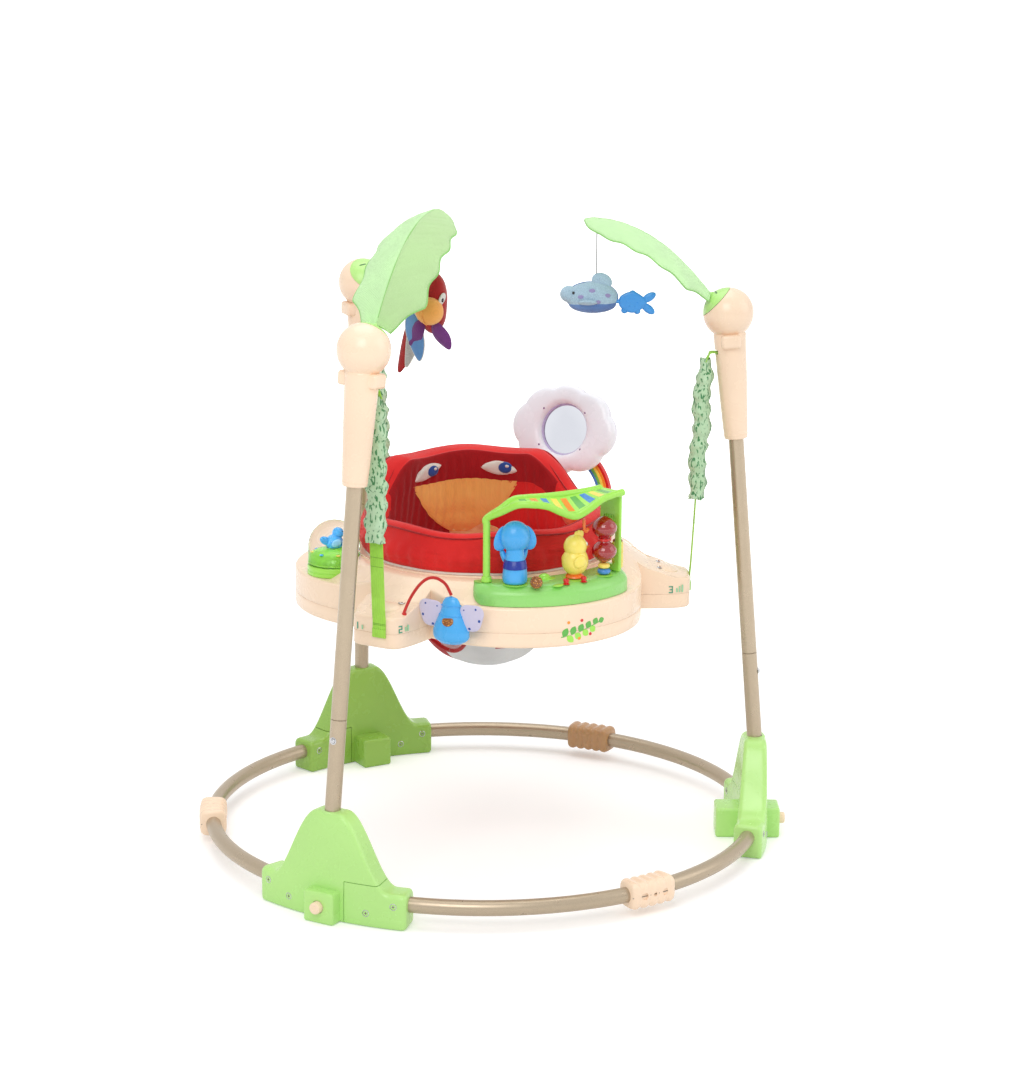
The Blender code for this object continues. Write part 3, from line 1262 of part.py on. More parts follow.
def fish_mesh():
    """Plush fish with fins and a flat teething fish at its tail."""
    body = ellipsoid((FISH_LENGTH / 2, FISH_DEPTH / 2, FISH_HEIGHT / 2), (0, 0, 0))
    snout = ellipsoid((0.013, 0.011, 0.012), (-FISH_LENGTH * 0.44, 0, 0.004), None, 8, 6)
    back_fin = ellipsoid((0.015, 0.003, 0.010), (0.014, 0, FISH_HEIGHT * 0.52), rotation(22, "Y"), 8, 6)
    side_fins = [ellipsoid((0.013, 0.008, 0.003), (-0.006, side * FISH_DEPTH * 0.5, -0.006),
                           rotation(side * 24, "X"), 8, 6) for side in (-1, 1)]
    centre = FISH_LENGTH / 2 + TEETHER_LENGTH * 0.42
    teether = ellipsoid((TEETHER_LENGTH * 0.36, TEETHER_THICKNESS / 2, TEETHER_HEIGHT / 2), (centre, 0, 0))
    tail = [ellipsoid((0.011, TEETHER_THICKNESS * 0.45, 0.006), (centre + TEETHER_LENGTH * 0.42, 0, side * 0.008),
                      rotation(-side * 35, "Y"), 8, 6) for side in (-1, 1)]
    link = tube([Vector((FISH_LENGTH * 0.40, 0, 0)), Vector((centre - TEETHER_LENGTH * 0.25, 0, 0))], 0.003, 2)
    shape = union(body, snout, back_fin, *side_fins, link, teether, *tail)
    string = moved(hanging_string(FISH_DROP), Matrix.Translation((0.006, 0, FISH_DROP)))
    shape = moved(union(shape, string), Matrix.Translation((-0.006, 0, -FISH_DROP)))
    return moved(shape, Matrix.Translation(hang_point("right")))


def parrot_mesh():
    """Plush parrot hanging head up: body, beak, wings, feet and a long tail."""
    body = ellipsoid((PARROT_WIDTH * 0.42, PARROT_WIDTH / 2, PARROT_LENGTH / 2), (0, 0, 0.012))
    beak = ellipsoid((PARROT_BEAK_RADIUS,) * 3, (0.014, 0.004, 0.004), None, 12, 8)
    blue_wing = ellipsoid((0.004, 0.0115, 0.030), (0.006, -0.020, -0.028), rotation(10, "X"), 8, 7)
    feather = ellipsoid((0.003, 0.008, 0.036), (-0.004, -0.030, -0.034), rotation(-16, "X"), 8, 7)
    tail = ellipsoid((0.003, 0.010, 0.050), (-0.008, -0.034, -0.030), rotation(-22, "X"), 8, 7)
    feet = [ellipsoid((0.004, 0.009, 0.018), (0.008, side * 0.017, -0.024), rotation(side * 34, "X"), 8, 6)
            for side in (-1, 1)]
    shape = union(body, beak, blue_wing, feather, tail, *feet)
    string = moved(hanging_string(PARROT_DROP - 0.04), Matrix.Translation((0, 0, PARROT_DROP)))
    shape = moved(union(shape, string), Matrix.Translation((0, 0, -PARROT_DROP)))
    return moved(shape, Matrix.Translation(hang_point("left")))


# Assembly

def build_frame(model):
    foot = foot_mesh()
    wing = foot_wing_mesh()
    knob = knob_mesh()
    lower = lower_post_mesh()
    upper = upper_post_mesh()
    button = snap_button_mesh()
    tower = tower_mesh()
    coupler = coupler_mesh()
    plain_cap = tower_cap_mesh(False)
    leaf_cap = tower_cap_mesh(True)
    seat = arc_degrees(FOOT_LENGTH / 2 - TUBE_INSERT)
    split = arc_degrees(TUBE_END_GAP)
    long_tube = tube(arc_points(seat, COUPLER_AZIMUTH - split), TUBE_RADIUS)
    short_tube = tube(arc_points(-seat, COUPLER_AZIMUTH - 120.0 + split), TUBE_RADIUS)
    legs = {}
    for name, azimuth in LEG_AZIMUTHS.items():
        leg = make_empty(f"leg_{name}", model, (0, 0, 0), azimuth)
        legs[name] = leg
        place(f"foot_{name}", foot, "green_plastic", leg)
        place(f"foot_wing_{name}", wing, "green_plastic", leg)
        place(f"foot_knob_{name}", knob, "beige_plastic", leg)
        place(f"lower_post_{name}", lower, "taupe_steel", leg)
        place(f"upper_post_{name}", upper, "taupe_steel", leg)
        place(f"snap_button_{name}", button, "steel", leg)
        place(f"tower_{name}", tower, "beige_plastic", leg)
        place(f"coupler_{name}", coupler, "beige_plastic", leg)
        place(f"base_tube_long_{name}", long_tube, "taupe_steel", leg)
        place(f"base_tube_short_{name}", short_tube, "taupe_steel", leg)
        place(f"tower_cap_{name}", leaf_cap if name in LEAF_RISES else plain_cap, "green_plastic", leg)
    for name, rise in LEAF_RISES.items():
        place(f"leaf_{name}", leaf_mesh(rise), "leaf_cloth", legs[name])
    place("fish", fish_mesh(), "blue_plush", legs["right"], hang_point("right"))
    place("parrot", parrot_mesh(), "red_plush", legs["left"], hang_point("left"))
    return legs


def build_tray(model, legs):
    tray = make_empty("tray_carrier", model)
    strap = strap_mesh()
    sleeve = sleeve_mesh()
    for name, leg in legs.items():
        place(f"strap_{name}", strap, "lime_webbing", leg)
        place(f"sleeve_{name}", sleeve, "leaf_print", leg)
    place("tray_top", tray_top_mesh(), "beige_plastic", tray)
    place("tray_base", tray_base_mesh(), "beige_plastic", tray)
    place("pond_base", pond_mesh(), "pond_plastic", tray)
    place("bridge", bridge_mesh(), "lime_plastic", tray)
    figure = polar(FIGURE_REACH, FIGURE_AZIMUTH, POND_TOP)
    place("blue_figure", figure_mesh(), "blue_plastic", tray, figure)
    place("bird", bird_mesh(), "yellow_plastic", tray, polar(BIRD_REACH, BIRD_AZIMUTH, POND_TOP))
    place("bead_spinner", spinner_mesh(), "red_glitter", tray, polar(SPINNER_REACH, SPINNER_AZIMUTH, POND_TOP))
    place("roller", roller_mesh(), "yellow_plastic", tray, polar(ROLLER_REACH, ROLLER_AZIMUTH, POND_TOP))
    dome = polar(DOME_REACH, DOME_AZIMUTH, DECK_HEIGHT)
    place("dome_base", dome_base_mesh(), "lime_plastic", tray)
    place("dome_cover", dome_cover_mesh(), "clear_plastic", tray)
    place("dome_figure", dome_figure_mesh(), "pond_plastic", tray, dome)
    place("cloud_frame", cloud_mesh(), "cloud_plastic", tray)
    place("cloud_arch", arch_mesh(), "rainbow_plastic", tray)
    place("bug_loop", loop_mesh(), "red_cloth", tray)
    place("bug", bug_mesh(), "blue_plastic", tray, bug_frame().translation)
    seat = make_empty("seat_carrier", tray)
    place("seat_ring", seat_ring_mesh(), "white_plastic", seat)
    place("seat_fabric", seat_fabric_mesh(), "red_cloth", seat)


for old in list(bpy.data.objects):
    bpy.data.objects.remove(old, do_unlink=True)
collection = bpy.data.collections.new("baby_jumper")
bpy.context.scene.collection.children.link(collection)
MATERIALS = {name: make_material(name) for name in COLOURS}
POST_FRAME = post_frame()
root = make_empty("jumper", None, (0, MODEL_SHIFT, 0))
build_tray(root, build_frame(root))
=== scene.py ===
"""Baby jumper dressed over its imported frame. Metres, +Z up, as the frame."""
import math

import bmesh
import bpy
from mathutils import Matrix, Vector, noise


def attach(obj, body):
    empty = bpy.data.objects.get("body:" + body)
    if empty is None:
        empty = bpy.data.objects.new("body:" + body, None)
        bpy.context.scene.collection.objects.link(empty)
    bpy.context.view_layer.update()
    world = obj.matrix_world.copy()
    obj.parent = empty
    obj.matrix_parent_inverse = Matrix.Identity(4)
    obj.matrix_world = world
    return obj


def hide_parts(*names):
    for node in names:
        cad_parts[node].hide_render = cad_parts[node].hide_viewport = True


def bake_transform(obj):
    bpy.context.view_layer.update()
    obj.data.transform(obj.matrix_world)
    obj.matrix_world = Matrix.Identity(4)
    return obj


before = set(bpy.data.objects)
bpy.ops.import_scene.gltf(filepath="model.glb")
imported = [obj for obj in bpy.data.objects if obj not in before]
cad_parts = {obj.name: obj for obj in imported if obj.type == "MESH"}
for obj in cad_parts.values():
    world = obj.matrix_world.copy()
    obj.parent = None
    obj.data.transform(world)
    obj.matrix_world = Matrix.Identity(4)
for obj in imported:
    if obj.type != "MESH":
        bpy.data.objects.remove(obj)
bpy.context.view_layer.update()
scene = bpy.context.scene

# Sizes shared by several pieces. Every shape is drawn about the floor ring's centre, with the legs at LEGS,
# and add() moves it by SHIFT into the frame.

GAP = 0.0003
SHIFT = -0.0135
LEGS = {"back": 90.0, "left": 210.0, "right": 330.0}
RING = 0.400
RING_HEIGHT = 0.032
TUBE = 0.011
FOOT_HALF = 0.115
POST_FOOT = Vector((RING, 0, 0.149))
POST_HEAD = (0.348, 3.4, 0.778)
BUTTON_HEIGHT = 0.101
BALL = 0.0365
NECK = 0.0235
CAP_PLANE = 0.0235
CAP_TILT = -42.0
SLOT_DROP = 0.0545
DECK = 0.413
COLLAR = 0.437
COLLAR_REACH = 0.206
DECK_INNER = 0.242
DECK_SLOPE = (COLLAR - DECK) / (DECK_INNER - COLLAR_REACH)
ARM_REACH = 0.2985
ARM_DROP = 0.013
TRAY_BOTTOM = 0.356
TRAY_SEAM = 0.377
HOLE = 0.1635
POND_TOP = 0.441
POND_LIP = 0.428
BRIDGE_TOP = 0.556
LEFT_LEAF_RISE = 0.134
RIGHT_LEAF_RISE = 0.106
SLEEVE_FOOT = Vector((0.306, 0.0115, 0.508))


# Camera, floor and light

CAMERA_PLACE = (-1.93365, -3.46901, 1.41268)
CAMERA_AIM = (0.483685, 0.842479, -0.237229)
CAMERA_ROLL = 0.3887
CAMERA_LENS = 93.543
FLOOR_HALF = 40.0
LAMP_AIM = (0, 0, 0.45)
LAMPS = {"key": ((-2.2, -2.6, 3.2), 2.2, 62.0),
         "fill": ((2.8, -2.0, 2.0), 2.4, 24.0),
         "top": ((0.2, 0.6, 3.6), 2.6, 34.0)}


def at(point):
    return Matrix.Translation(point)


def axes(x, y, z):
    """Rotation whose columns are the three given directions."""
    return Matrix((x, y, z)).transposed().to_4x4()


def build_camera():
    forward = Vector(CAMERA_AIM).normalized()
    level = forward.cross(Vector((0, 0, 1))).normalized()
    above = level.cross(forward)
    roll = math.radians(CAMERA_ROLL)
    right = level * math.cos(roll) + above * math.sin(roll)
    up = above * math.cos(roll) - level * math.sin(roll)
    data = bpy.data.cameras.new("view")
    data.sensor_fit = "AUTO"
    data.sensor_width = 36.0
    data.lens = CAMERA_LENS
    data.clip_end = 50.0
    camera = bpy.data.objects.new("view", data)
    camera.matrix_world = at(CAMERA_PLACE) @ axes(right, up, -forward)
    scene.collection.objects.link(camera)
    scene.camera = camera


def node(tree, kind, inputs=None, **settings):
    """New shader node; each input is a socket to link or a value to set."""
    item = tree.nodes.new(kind)
    for key, value in settings.items():
        setattr(item, key, value)
    for key, value in (inputs or {}).items():
        if isinstance(value, bpy.types.NodeSocket):
            tree.links.new(value, item.inputs[key])
        else:
            item.inputs[key].default_value = value
    return item


def calculated(tree, operation, first, second):
    return node(tree, "ShaderNodeMath", {0: first, 1: second}, operation=operation).outputs[0]


def spread(tree, value, low, high, to_low=0.0, to_high=1.0):
    """The value carried from the span low to high onto the span to_low to to_high."""
    return node(tree, "ShaderNodeMapRange", {"Value": value, "From Min": low, "From Max": high,
                                             "To Min": to_low, "To Max": to_high}).outputs[0]


def speckle(tree, where, scale, detail, **more):
    inputs = {"Vector": where, "Scale": scale, "Detail": detail}
    return node(tree, "ShaderNodeTexNoise", {**inputs, **more}).outputs[0]


def direct_rays(tree):
    """1 for rays that see the backdrop directly, in gloss or through glass."""
    path = node(tree, "ShaderNodeLightPath").outputs
    first = calculated(tree, "MAXIMUM", path["Is Camera Ray"], path["Is Glossy Ray"])
    return calculated(tree, "MAXIMUM", first, path["Is Transmission Ray"])


def build_world():
    world = bpy.data.worlds.new("studio")
    world.use_nodes = True
    tree = world.node_tree
    backdrop = tree.nodes["Background"]
    backdrop.inputs["Color"].default_value = (1, 1, 1, 1)
    tree.links.new(spread(tree, direct_rays(tree), 0.0, 1.0, 0.62, 1.0), backdrop.inputs["Strength"])
    scene.world = world


def build_floor():
    """White paper that catches shadows and glows more with distance, so that it meets the backdrop."""
    half = FLOOR_HALF
    mesh = bpy.data.meshes.new("floor")
    mesh.from_pydata([(-half, -half, 0), (half, -half, 0), (half, half, 0), (-half, half, 0)], [], [(0, 1, 2, 3)])
    floor = bpy.data.objects.new("floor", mesh)
    scene.collection.objects.link(floor)
    material = bpy.data.materials.new("floor_paper")
    material.use_nodes = True
    tree = material.node_tree
    shader = tree.nodes["Principled BSDF"]
    shader.inputs["Base Color"].default_value = (0.93, 0.93, 0.93, 1)
    shader.inputs["Roughness"].default_value = 0.95
    shader.inputs["Specular IOR Level"].default_value = 0.0
    shader.inputs["Emission Color"].default_value = (1, 1, 1, 1)
    spot = node(tree, "ShaderNodeTexCoord").outputs["Object"]
    away = node(tree, "ShaderNodeVectorMath", {0: spot}, operation="LENGTH").outputs["Value"]
    glow = calculated(tree, "MULTIPLY", spread(tree, away, 0.6, 3.0, 0.26, 1.0), direct_rays(tree))
    tree.links.new(glow, shader.inputs["Emission Strength"])
    mesh.materials.append(material)


def build_lamps():
    for name, (place, width, power) in LAMPS.items():
        data = bpy.data.lights.new(name, "AREA")
        data.size = width
        data.energy = power
        lamp = bpy.data.objects.new(name, data)
        lamp.location = place
        lamp.rotation_euler = (Vector(LAMP_AIM) - Vector(place)).to_track_quat("-Z", "Y").to_euler()
        scene.collection.objects.link(lamp)


# Materials

MATERIALS = {}

PLASTICS = {
    # The darker green used for the cap's slots is painted shade.
    "beige": (250, 222, 194), "green": (184, 232, 136), "green_dark": (70, 120, 60), "lime": (164, 230, 84),
    "pond": (146, 214, 112), "blue": (72, 172, 238), "navy": (24, 48, 150), "yellow": (250, 228, 108),
    "orange": (242, 120, 45), "white": (243, 240, 234), "black": (22, 20, 26), "cloud": (238, 236, 244),
    # The back foot's deeper green is partly its own colour and partly painted shade.
    "mauve": (186, 172, 210), "purple": (112, 54, 122), "tan": (196, 150, 104), "green_deep_and_shade": (150, 194, 84),
    "ink": (70, 150, 120), "ink_pale": (150, 205, 160), "leaf_green": (96, 180, 74), "band_red": (214, 40, 40),
    "band_orange": (246, 150, 50), "band_yellow": (250, 226, 90), "band_green": (110, 196, 90),
    "band_blue": (70, 140, 214), "sky": (140, 205, 238), "dark_red": (150, 22, 34), "dome_lime": (138, 216, 62)}


def linear(rgb):
    """Linear colour from screen levels of 0 to 255."""
    out = []
    for channel in rgb:
        value = channel / 255.0
        out.append(value / 12.92 if value <= 0.04045 else ((value + 0.055) / 1.055) ** 2.4)
    return (*out, 1.0)


def shade(colour, factor):
    return tuple(min(255, max(0, channel * factor)) for channel in colour)


def start(name):
    material = bpy.data.materials.new(name)
    material.use_nodes = True
    MATERIALS[name] = material
    tree = material.node_tree
    return tree, tree.nodes["Principled BSDF"], node(tree, "ShaderNodeTexCoord").outputs["Object"]


def mixed(tree, share, first, second):
    inputs = {"Factor": share, "A": first, "B": second}
    return node(tree, "ShaderNodeMix", inputs, data_type="RGBA").outputs["Result"]


def drift(tree, where, colour, other, scale):
    """Slow drift between two colours."""
    share = spread(tree, speckle(tree, where, scale, 3.0), 0.35, 0.65)
    return mixed(tree, share, linear(colour), linear(other))


def overlaid(tree, shader, share, colour):
    """Lay a second colour over the base colour where share is 1."""
    base = shader.inputs["Base Color"]
    tree.links.new(mixed(tree, share, base.links[0].from_socket, linear(colour)), base)


def bump(tree, shader, height, strength, distance):
    item = node(tree, "ShaderNodeBump", {"Height": height, "Strength": strength, "Distance": distance})
    tree.links.new(item.outputs[0], shader.inputs["Normal"])


def rough(tree, shader, where, low, high, scale=45.0):
    grain = speckle(tree, where, scale, 4.0)
    tree.links.new(spread(tree, grain, 0.3, 0.7, low, high), shader.inputs["Roughness"])


def edge_wear(tree, where, base, worn):
    """Lighter rubbed edges, from the shape's own curvature."""
    sharp = spread(tree, node(tree, "ShaderNodeNewGeometry").outputs["Pointiness"], 0.56, 0.66)
    total = calculated(tree, "MULTIPLY", sharp, speckle(tree, where, 90.0, 3.0))
    return mixed(tree, spread(tree, total, 0.25, 0.60, 0.0, 0.45), base, linear(worn))


def plastic(name, colour, low=0.20, high=0.32, peel=0.035, worn=True):
    """Glossy moulded plastic with slight flow marks and orange peel."""
    tree, shader, where = start(name)
    base = drift(tree, where, shade(colour, 0.975), shade(colour, 1.02), 5.0)
    if worn:
        base = edge_wear(tree, where, base, shade(colour, 1.08))
    tree.links.new(base, shader.inputs["Base Color"])
    rough(tree, shader, where, low, high)
    bump(tree, shader, speckle(tree, where, 700.0, 2.0), peel, 0.0004)
    return tree, shader, where


def flecked(name, colour, fleck, scale, near, low, high, coat):
    """Translucent-looking plastic with bright flecks in it."""
    tree, shader, where = plastic(name, colour, low, high, 0.02, False)
    cells = node(tree, "ShaderNodeTexVoronoi", {"Vector": where, "Scale": scale}).outputs["Distance"]
    overlaid(tree, shader, spread(tree, cells, near, near + 0.04, 1.0, 0.0), fleck)
    shader.inputs["Coat Weight"].default_value = coat


def weave(tree, where, pitch):
    """Height of a plain weave from three crossed bands, for any facing."""
    inputs = {"Vector": where, "Scale": 0.314 / pitch, "Distortion": 0.6, "Detail": 1.0, "Detail Scale": 2.0}
    x, y, z = [node(tree, "ShaderNodeTexWave", inputs, bands_direction=direction).outputs["Fac"]
               for direction in ("X", "Y", "Z")]
    return calculated(tree, "ADD", calculated(tree, "ADD", x, y), z)


def cloth(name, colour, other=None, pitch=0.0011, sheen=0.35, strength=0.5, fold=14.0):
    """Woven cloth: threads in colour and bump, soft drift of tone, sheen."""
    tree, shader, where = start(name)
    base = drift(tree, where, shade(colour, 0.97), other or shade(colour, 1.03), fold)
    threads = weave(tree, where, pitch)
    light = spread(tree, threads, 0.4, 2.4, 0.95, 1.08)
    toned = node(tree, "ShaderNodeVectorMath", {0: base, "Scale": light}, operation="SCALE")
    tree.links.new(toned.outputs[0], shader.inputs["Base Color"])
    shader.inputs["Roughness"].default_value = 0.85
    shader.inputs["Sheen Weight"].default_value = sheen
    shader.inputs["Sheen Roughness"].default_value = 0.45
    shader.inputs["Specular IOR Level"].default_value = 0.25
    bump(tree, shader, threads, strength, 0.0004)
    return tree, shader, where


def plush(name, colour, other):
    """Short pile: fine noise in tone and bump, strong sheen."""
    tree, shader, where = start(name)
    pile = speckle(tree, where, 900.0, 3.0, Roughness=0.7)
    toned = mixed(tree, spread(tree, pile, 0.3, 0.7), linear(shade(colour, 0.82)), linear(other))
    tree.links.new(toned, shader.inputs["Base Color"])
    shader.inputs["Roughness"].default_value = 0.95
    shader.inputs["Sheen Weight"].default_value = 0.5
    shader.inputs["Specular IOR Level"].default_value = 0.15
    bump(tree, shader, pile, 0.8, 0.0008)


def metal(name, colour, low, high, metallic):
    """Metal, or metallic paint, with a fine flake."""
    tree, shader, where = start(name)
    flake = node(tree, "ShaderNodeTexVoronoi", {"Vector": where, "Scale": 1600.0}).outputs["Distance"]
    base = mixed(tree, spread(tree, flake, 0.0, 0.7), linear(shade(colour, 1.05)), linear(shade(colour, 0.93)))
    tree.links.new(base, shader.inputs["Base Color"])
    shader.inputs["Metallic"].default_value = metallic
    rough(tree, shader, where, low, high)
    bump(tree, shader, flake, 0.05, 0.0002)


def sleeve_print():
    """Pale cloth printed with short dark slashes."""
    tree, shader, where = cloth("sleeve_print", (192, 226, 184), (200, 230, 194), 0.0013, 0.3, 0.5)
    stretch = node(tree, "ShaderNodeMapping", {"Vector": where, "Rotation": (0.5, 0.35, 0.6),
                                               "Scale": (330.0, 330.0, 95.0)})
    slash = speckle(tree, stretch.outputs[0], 1.0, 1.5)
    overlaid(tree, shader, spread(tree, slash, 0.55, 0.60), (84, 146, 96))


def clear_plastic():
    tree, shader, where = start("clear")
    shader.inputs["Base Color"].default_value = (0.99, 0.995, 1.0, 1)
    shader.inputs["Transmission Weight"].default_value = 1.0
    shader.inputs["IOR"].default_value = 1.10
    rough(tree, shader, where, 0.01, 0.04)


def mirror():
    tree, shader, where = start("mirror")
    shader.inputs["Metallic"].default_value = 1.0
    tree.links.new(drift(tree, where, (222, 224, 232), (238, 240, 246), 8.0), shader.inputs["Base Color"])
    rough(tree, shader, where, 0.05, 0.10, 12.0)


def build_materials():
    for name, colour in PLASTICS.items():
        plastic(name, colour)
    # Painted shade: dark plastic for the screws' cross slots and the coupler's parting line, where shade falls in
    # recesses and gaps.
    plastic("tower_dark", (120, 108, 92), 0.5, 0.6)
    plastic("teether_blue", (62, 150, 226), 0.3, 0.42)
    flecked("glitter", (160, 8, 16), (250, 150, 120), 620.0, 0.12, 0.10, 0.18, 0.8)
    flecked("glitter_amber", (140, 82, 34), (252, 176, 60), 420.0, 0.26, 0.12, 0.20, 0.0)
    metal("taupe", (186, 169, 145), 0.26, 0.38, 0.55)
    metal("steel", (196, 196, 198), 0.18, 0.30, 1.0)
    cloth("webbing", (166, 228, 78), (178, 238, 92), 0.0016, 0.2, 0.8, 30.0)
    cloth("webbing_dark", (112, 176, 48), None, 0.0016, 0.2, 0.8)
    cloth("leaf_light", (205, 246, 184), (204, 247, 182), 0.0014, 0.3, 0.6, 20.0)
    cloth("leaf_mid", (192, 226, 164), (188, 224, 160), 0.0014, 0.3, 0.6, 20.0)
    cloth("piping", (150, 206, 120), None, 0.0012)
    cloth("piping_red", (172, 18, 24))
    cloth("seat_red", (224, 38, 38), (230, 46, 44), 0.0013, 0.18, 0.4)
    cloth("seat_dark", (164, 18, 24), (174, 24, 30), 0.0013, 0.18, 0.4)
    cloth("seat_orange", (255, 186, 96), (255, 196, 112), 0.0013, 0.25, 0.4)
    cloth("seat_peach", (255, 214, 150), None, 0.0013, 0.25, 0.4)
    cloth("seat_grey", (214, 214, 216), (226, 226, 228), 0.0015, 0.2, 0.5)
    cloth("eye_pale", (236, 230, 220), None, 0.0012)
    cloth("eye_blue", (44, 80, 160), None, 0.0012)
    cloth("orange_cloth", (232, 84, 36), (240, 98, 44), 0.0012, 0.2, 0.4)
    cloth("loop_red", (196, 40, 40), (214, 60, 54), 0.0010)
    cloth("wing_cloth", (226, 218, 240), (212, 206, 232))
    cloth("fish_belly", (96, 128, 186), (112, 144, 198))
    cloth("mauve_cloth", (160, 150, 196), None, 0.0010)
    cloth("string", (150, 150, 152), None, 0.0006)
    cloth("violet_cloth", (110, 50, 120), (128, 64, 140))
    cloth("wing_blue", (98, 146, 206), (116, 162, 216))
    cloth("white_cloth", (236, 232, 226), None, 0.0012)
    cloth("beak_cloth", (246, 172, 88), (250, 184, 104), 0.0011, 0.3, 0.3)
    plush("plush_red", (172, 26, 32), (200, 44, 44))
    plush("plush_grey", (186, 180, 178), (214, 208, 204))
    plush("plush_pale", (168, 204, 228), (196, 222, 240))
    sleeve_print()
    clear_plastic()
    mirror()


# Shapes

def polar(reach, azimuth, height):
    angle = math.radians(azimuth)
    return Vector((reach * math.cos(angle), reach * math.sin(angle), height))


def smoothstep(low, high, value):
    t = min(1.0, max(0.0, (value - low) / (high - low)))
    return t * t * (3.0 - 2.0 * t)


def rotation(degrees, axis):
    return Matrix.Rotation(math.radians(degrees), 4, axis)


def shifted(x, y, z):
    return Matrix.Translation((x, y, z))


def around(count, closed=False):
    """Angles of a full turn in radians; closed repeats the first."""
    return [2 * math.pi * k / count for k in range(count + closed)]


def rounding(count):
    """Steps of a quarter arc: how far each has yet to go inward and upward, from 0 to 1."""
    angles = [math.radians(90.0 * k / count) for k in range(count + 1)]
    return [(1 - math.cos(angle), 1 - math.sin(angle)) for angle in angles]


def mesh_from(bm):
    bmesh.ops.recalc_face_normals(bm, faces=bm.faces)
    mesh = bpy.data.meshes.new("shape")
    bm.to_mesh(mesh)
    bm.free()
    return mesh


def loft(rings, closed=False, caps=True, paint=None):
    """Skin rings of equal point count; paint(row, column) gives a face's material."""
    bm = bmesh.new()
    loops = [[bm.verts.new(point) for point in ring] for ring in rings]
    count = len(rings[0])
    following = loops[1:] + ([loops[0]] if closed else [])
    for row, (lower, upper) in enumerate(zip(loops, following)):
        for i in range(count):
            j = (i + 1) % count
            face = bm.faces.new((lower[i], lower[j], upper[j], upper[i]))
            if paint:
                face.material_index = paint(row, i)
    if not closed and caps:
        bm.faces.new(loops[0])
        bm.faces.new(loops[-1])
    return mesh_from(bm)


def turned(profile, steps=48, matrix=None):
    """Solid of revolution about Z from (radius, height) points; a radius of 0 closes it."""
    bm = bmesh.new()
    rows = []
    for radius, height in profile:
        count = steps if radius > 1e-6 else 1
        rows.append([bm.verts.new(polar(radius, 360.0 * i / steps, height)) for i in range(count)])
    for lower, upper in zip(rows, rows[1:]):
        for i in range(steps):
            j = (i + 1) % steps
            corners = [lower[i % len(lower)], lower[j % len(lower)], upper[j % len(upper)], upper[i % len(upper)]]
            corners = list(dict.fromkeys(corners))
            if len(corners) > 2:
                bm.faces.new(corners)
    return moved(mesh_from(bm), matrix or Matrix())


def catmull(before, first, second, after, u):
    """Point of a Catmull-Rom curve between first and second."""
    return 0.5 * (2 * first + (second - before) * u + (2 * before - 5 * first + 4 * second - after) * u * u
                  + (3 * first - before - 3 * second + after) * u * u * u)


def smooth_path(points, count):
    """Curve through the points, in count equal steps of its parameter."""
    padded = [points[0] * 2 - points[1], *points, points[-1] * 2 - points[-2]]
    spans = len(points) - 1
    out = []
    for i in range(count + 1):
        t = spans * i / count
        k = min(int(t), spans - 1)
        out.append(catmull(*padded[k:k + 4], t - k))
    return out


def tube(points, radius, sides=16):
    """Round bar along points; the radius may be a list, one for each point."""
    rings = []
    side = None
    for i, point in enumerate(points):
        run = (points[min(i + 1, len(points) - 1)] - points[max(i - 1, 0)]).normalized()
        if side is None:
            side = run.orthogonal().normalized()
        side = (side - run * side.dot(run)).normalized()
        other = run.cross(side)
        size = radius[i] if isinstance(radius, list) else radius
        rings.append([point + (side * math.cos(a) + other * math.sin(a)) * size for a in around(sides)])
    return loft(rings)


def box(size, centre, bevel=0.0, segments=4):
    bm = bmesh.new()
    bmesh.ops.create_cube(bm, size=1.0)
    bmesh.ops.scale(bm, vec=size, verts=bm.verts)
    if bevel > 0.0:
        bmesh.ops.bevel(bm, geom=bm.edges[:], offset=bevel, segments=segments, affect="EDGES", profile=0.5)
    bmesh.ops.translate(bm, vec=centre, verts=bm.verts)
    return mesh_from(bm)


def ellipsoid(radii, centre=(0, 0, 0), turn=None, segments=32, rings=20):
    bm = bmesh.new()
    bmesh.ops.create_uvsphere(bm, u_segments=segments, v_segments=rings, radius=1.0)
    bmesh.ops.scale(bm, vec=radii, verts=bm.verts)
    if turn:
        bmesh.ops.transform(bm, matrix=turn, verts=bm.verts)
    bmesh.ops.translate(bm, vec=centre, verts=bm.verts)
    return mesh_from(bm)


def joined(*parts):
    """One mesh from meshes or (mesh, material index) pairs; a bare mesh takes 0 and index None keeps its own."""
    bm = bmesh.new()
    for part in parts:
        mesh, index = part if isinstance(part, tuple) else (part, 0)
        first = len(bm.faces)
        bm.from_mesh(mesh)
        bm.faces.ensure_lookup_table()
        if index is not None:
            for face in bm.faces[first:]:
                face.material_index = index
    mesh = bpy.data.meshes.new("shape")
    bm.to_mesh(mesh)
    bm.free()
    return mesh


def moved(mesh, matrix):
    mesh.transform(matrix)
    return mesh


def combine(first, second, operation):
    """Boolean of two closed meshes."""
    other = bpy.data.objects.new("tool", second)
    stock = bpy.data.objects.new("stock", first)
    for obj in (other, stock):
        scene.collection.objects.link(obj)
    cut = stock.modifiers.new("cut", "BOOLEAN")
    cut.operation = operation
    cut.solver = "EXACT"
    cut.object = other
    bpy.context.view_layer.update()
    graph = bpy.context.evaluated_depsgraph_get()
    mesh = bpy.data.meshes.new_from_object(stock.evaluated_get(graph))
    for obj in (other, stock):
        bpy.data.objects.remove(obj, do_unlink=True)
    return mesh


def cut_away(stock, *tools):
    for tool in tools:
        stock = combine(stock, tool, "DIFFERENCE")
    return stock


def rippled(mesh, amount, scale, seed):
    """Push every vertex along its normal by smooth noise."""
    offset = Vector((seed, seed * 1.7, seed * 0.3))
    normals = [vertex.normal.copy() for vertex in mesh.vertices]
    for vertex, normal in zip(mesh.vertices, normals):
        vertex.co += normal * amount * noise.noise(vertex.co * scale + offset)
    return mesh


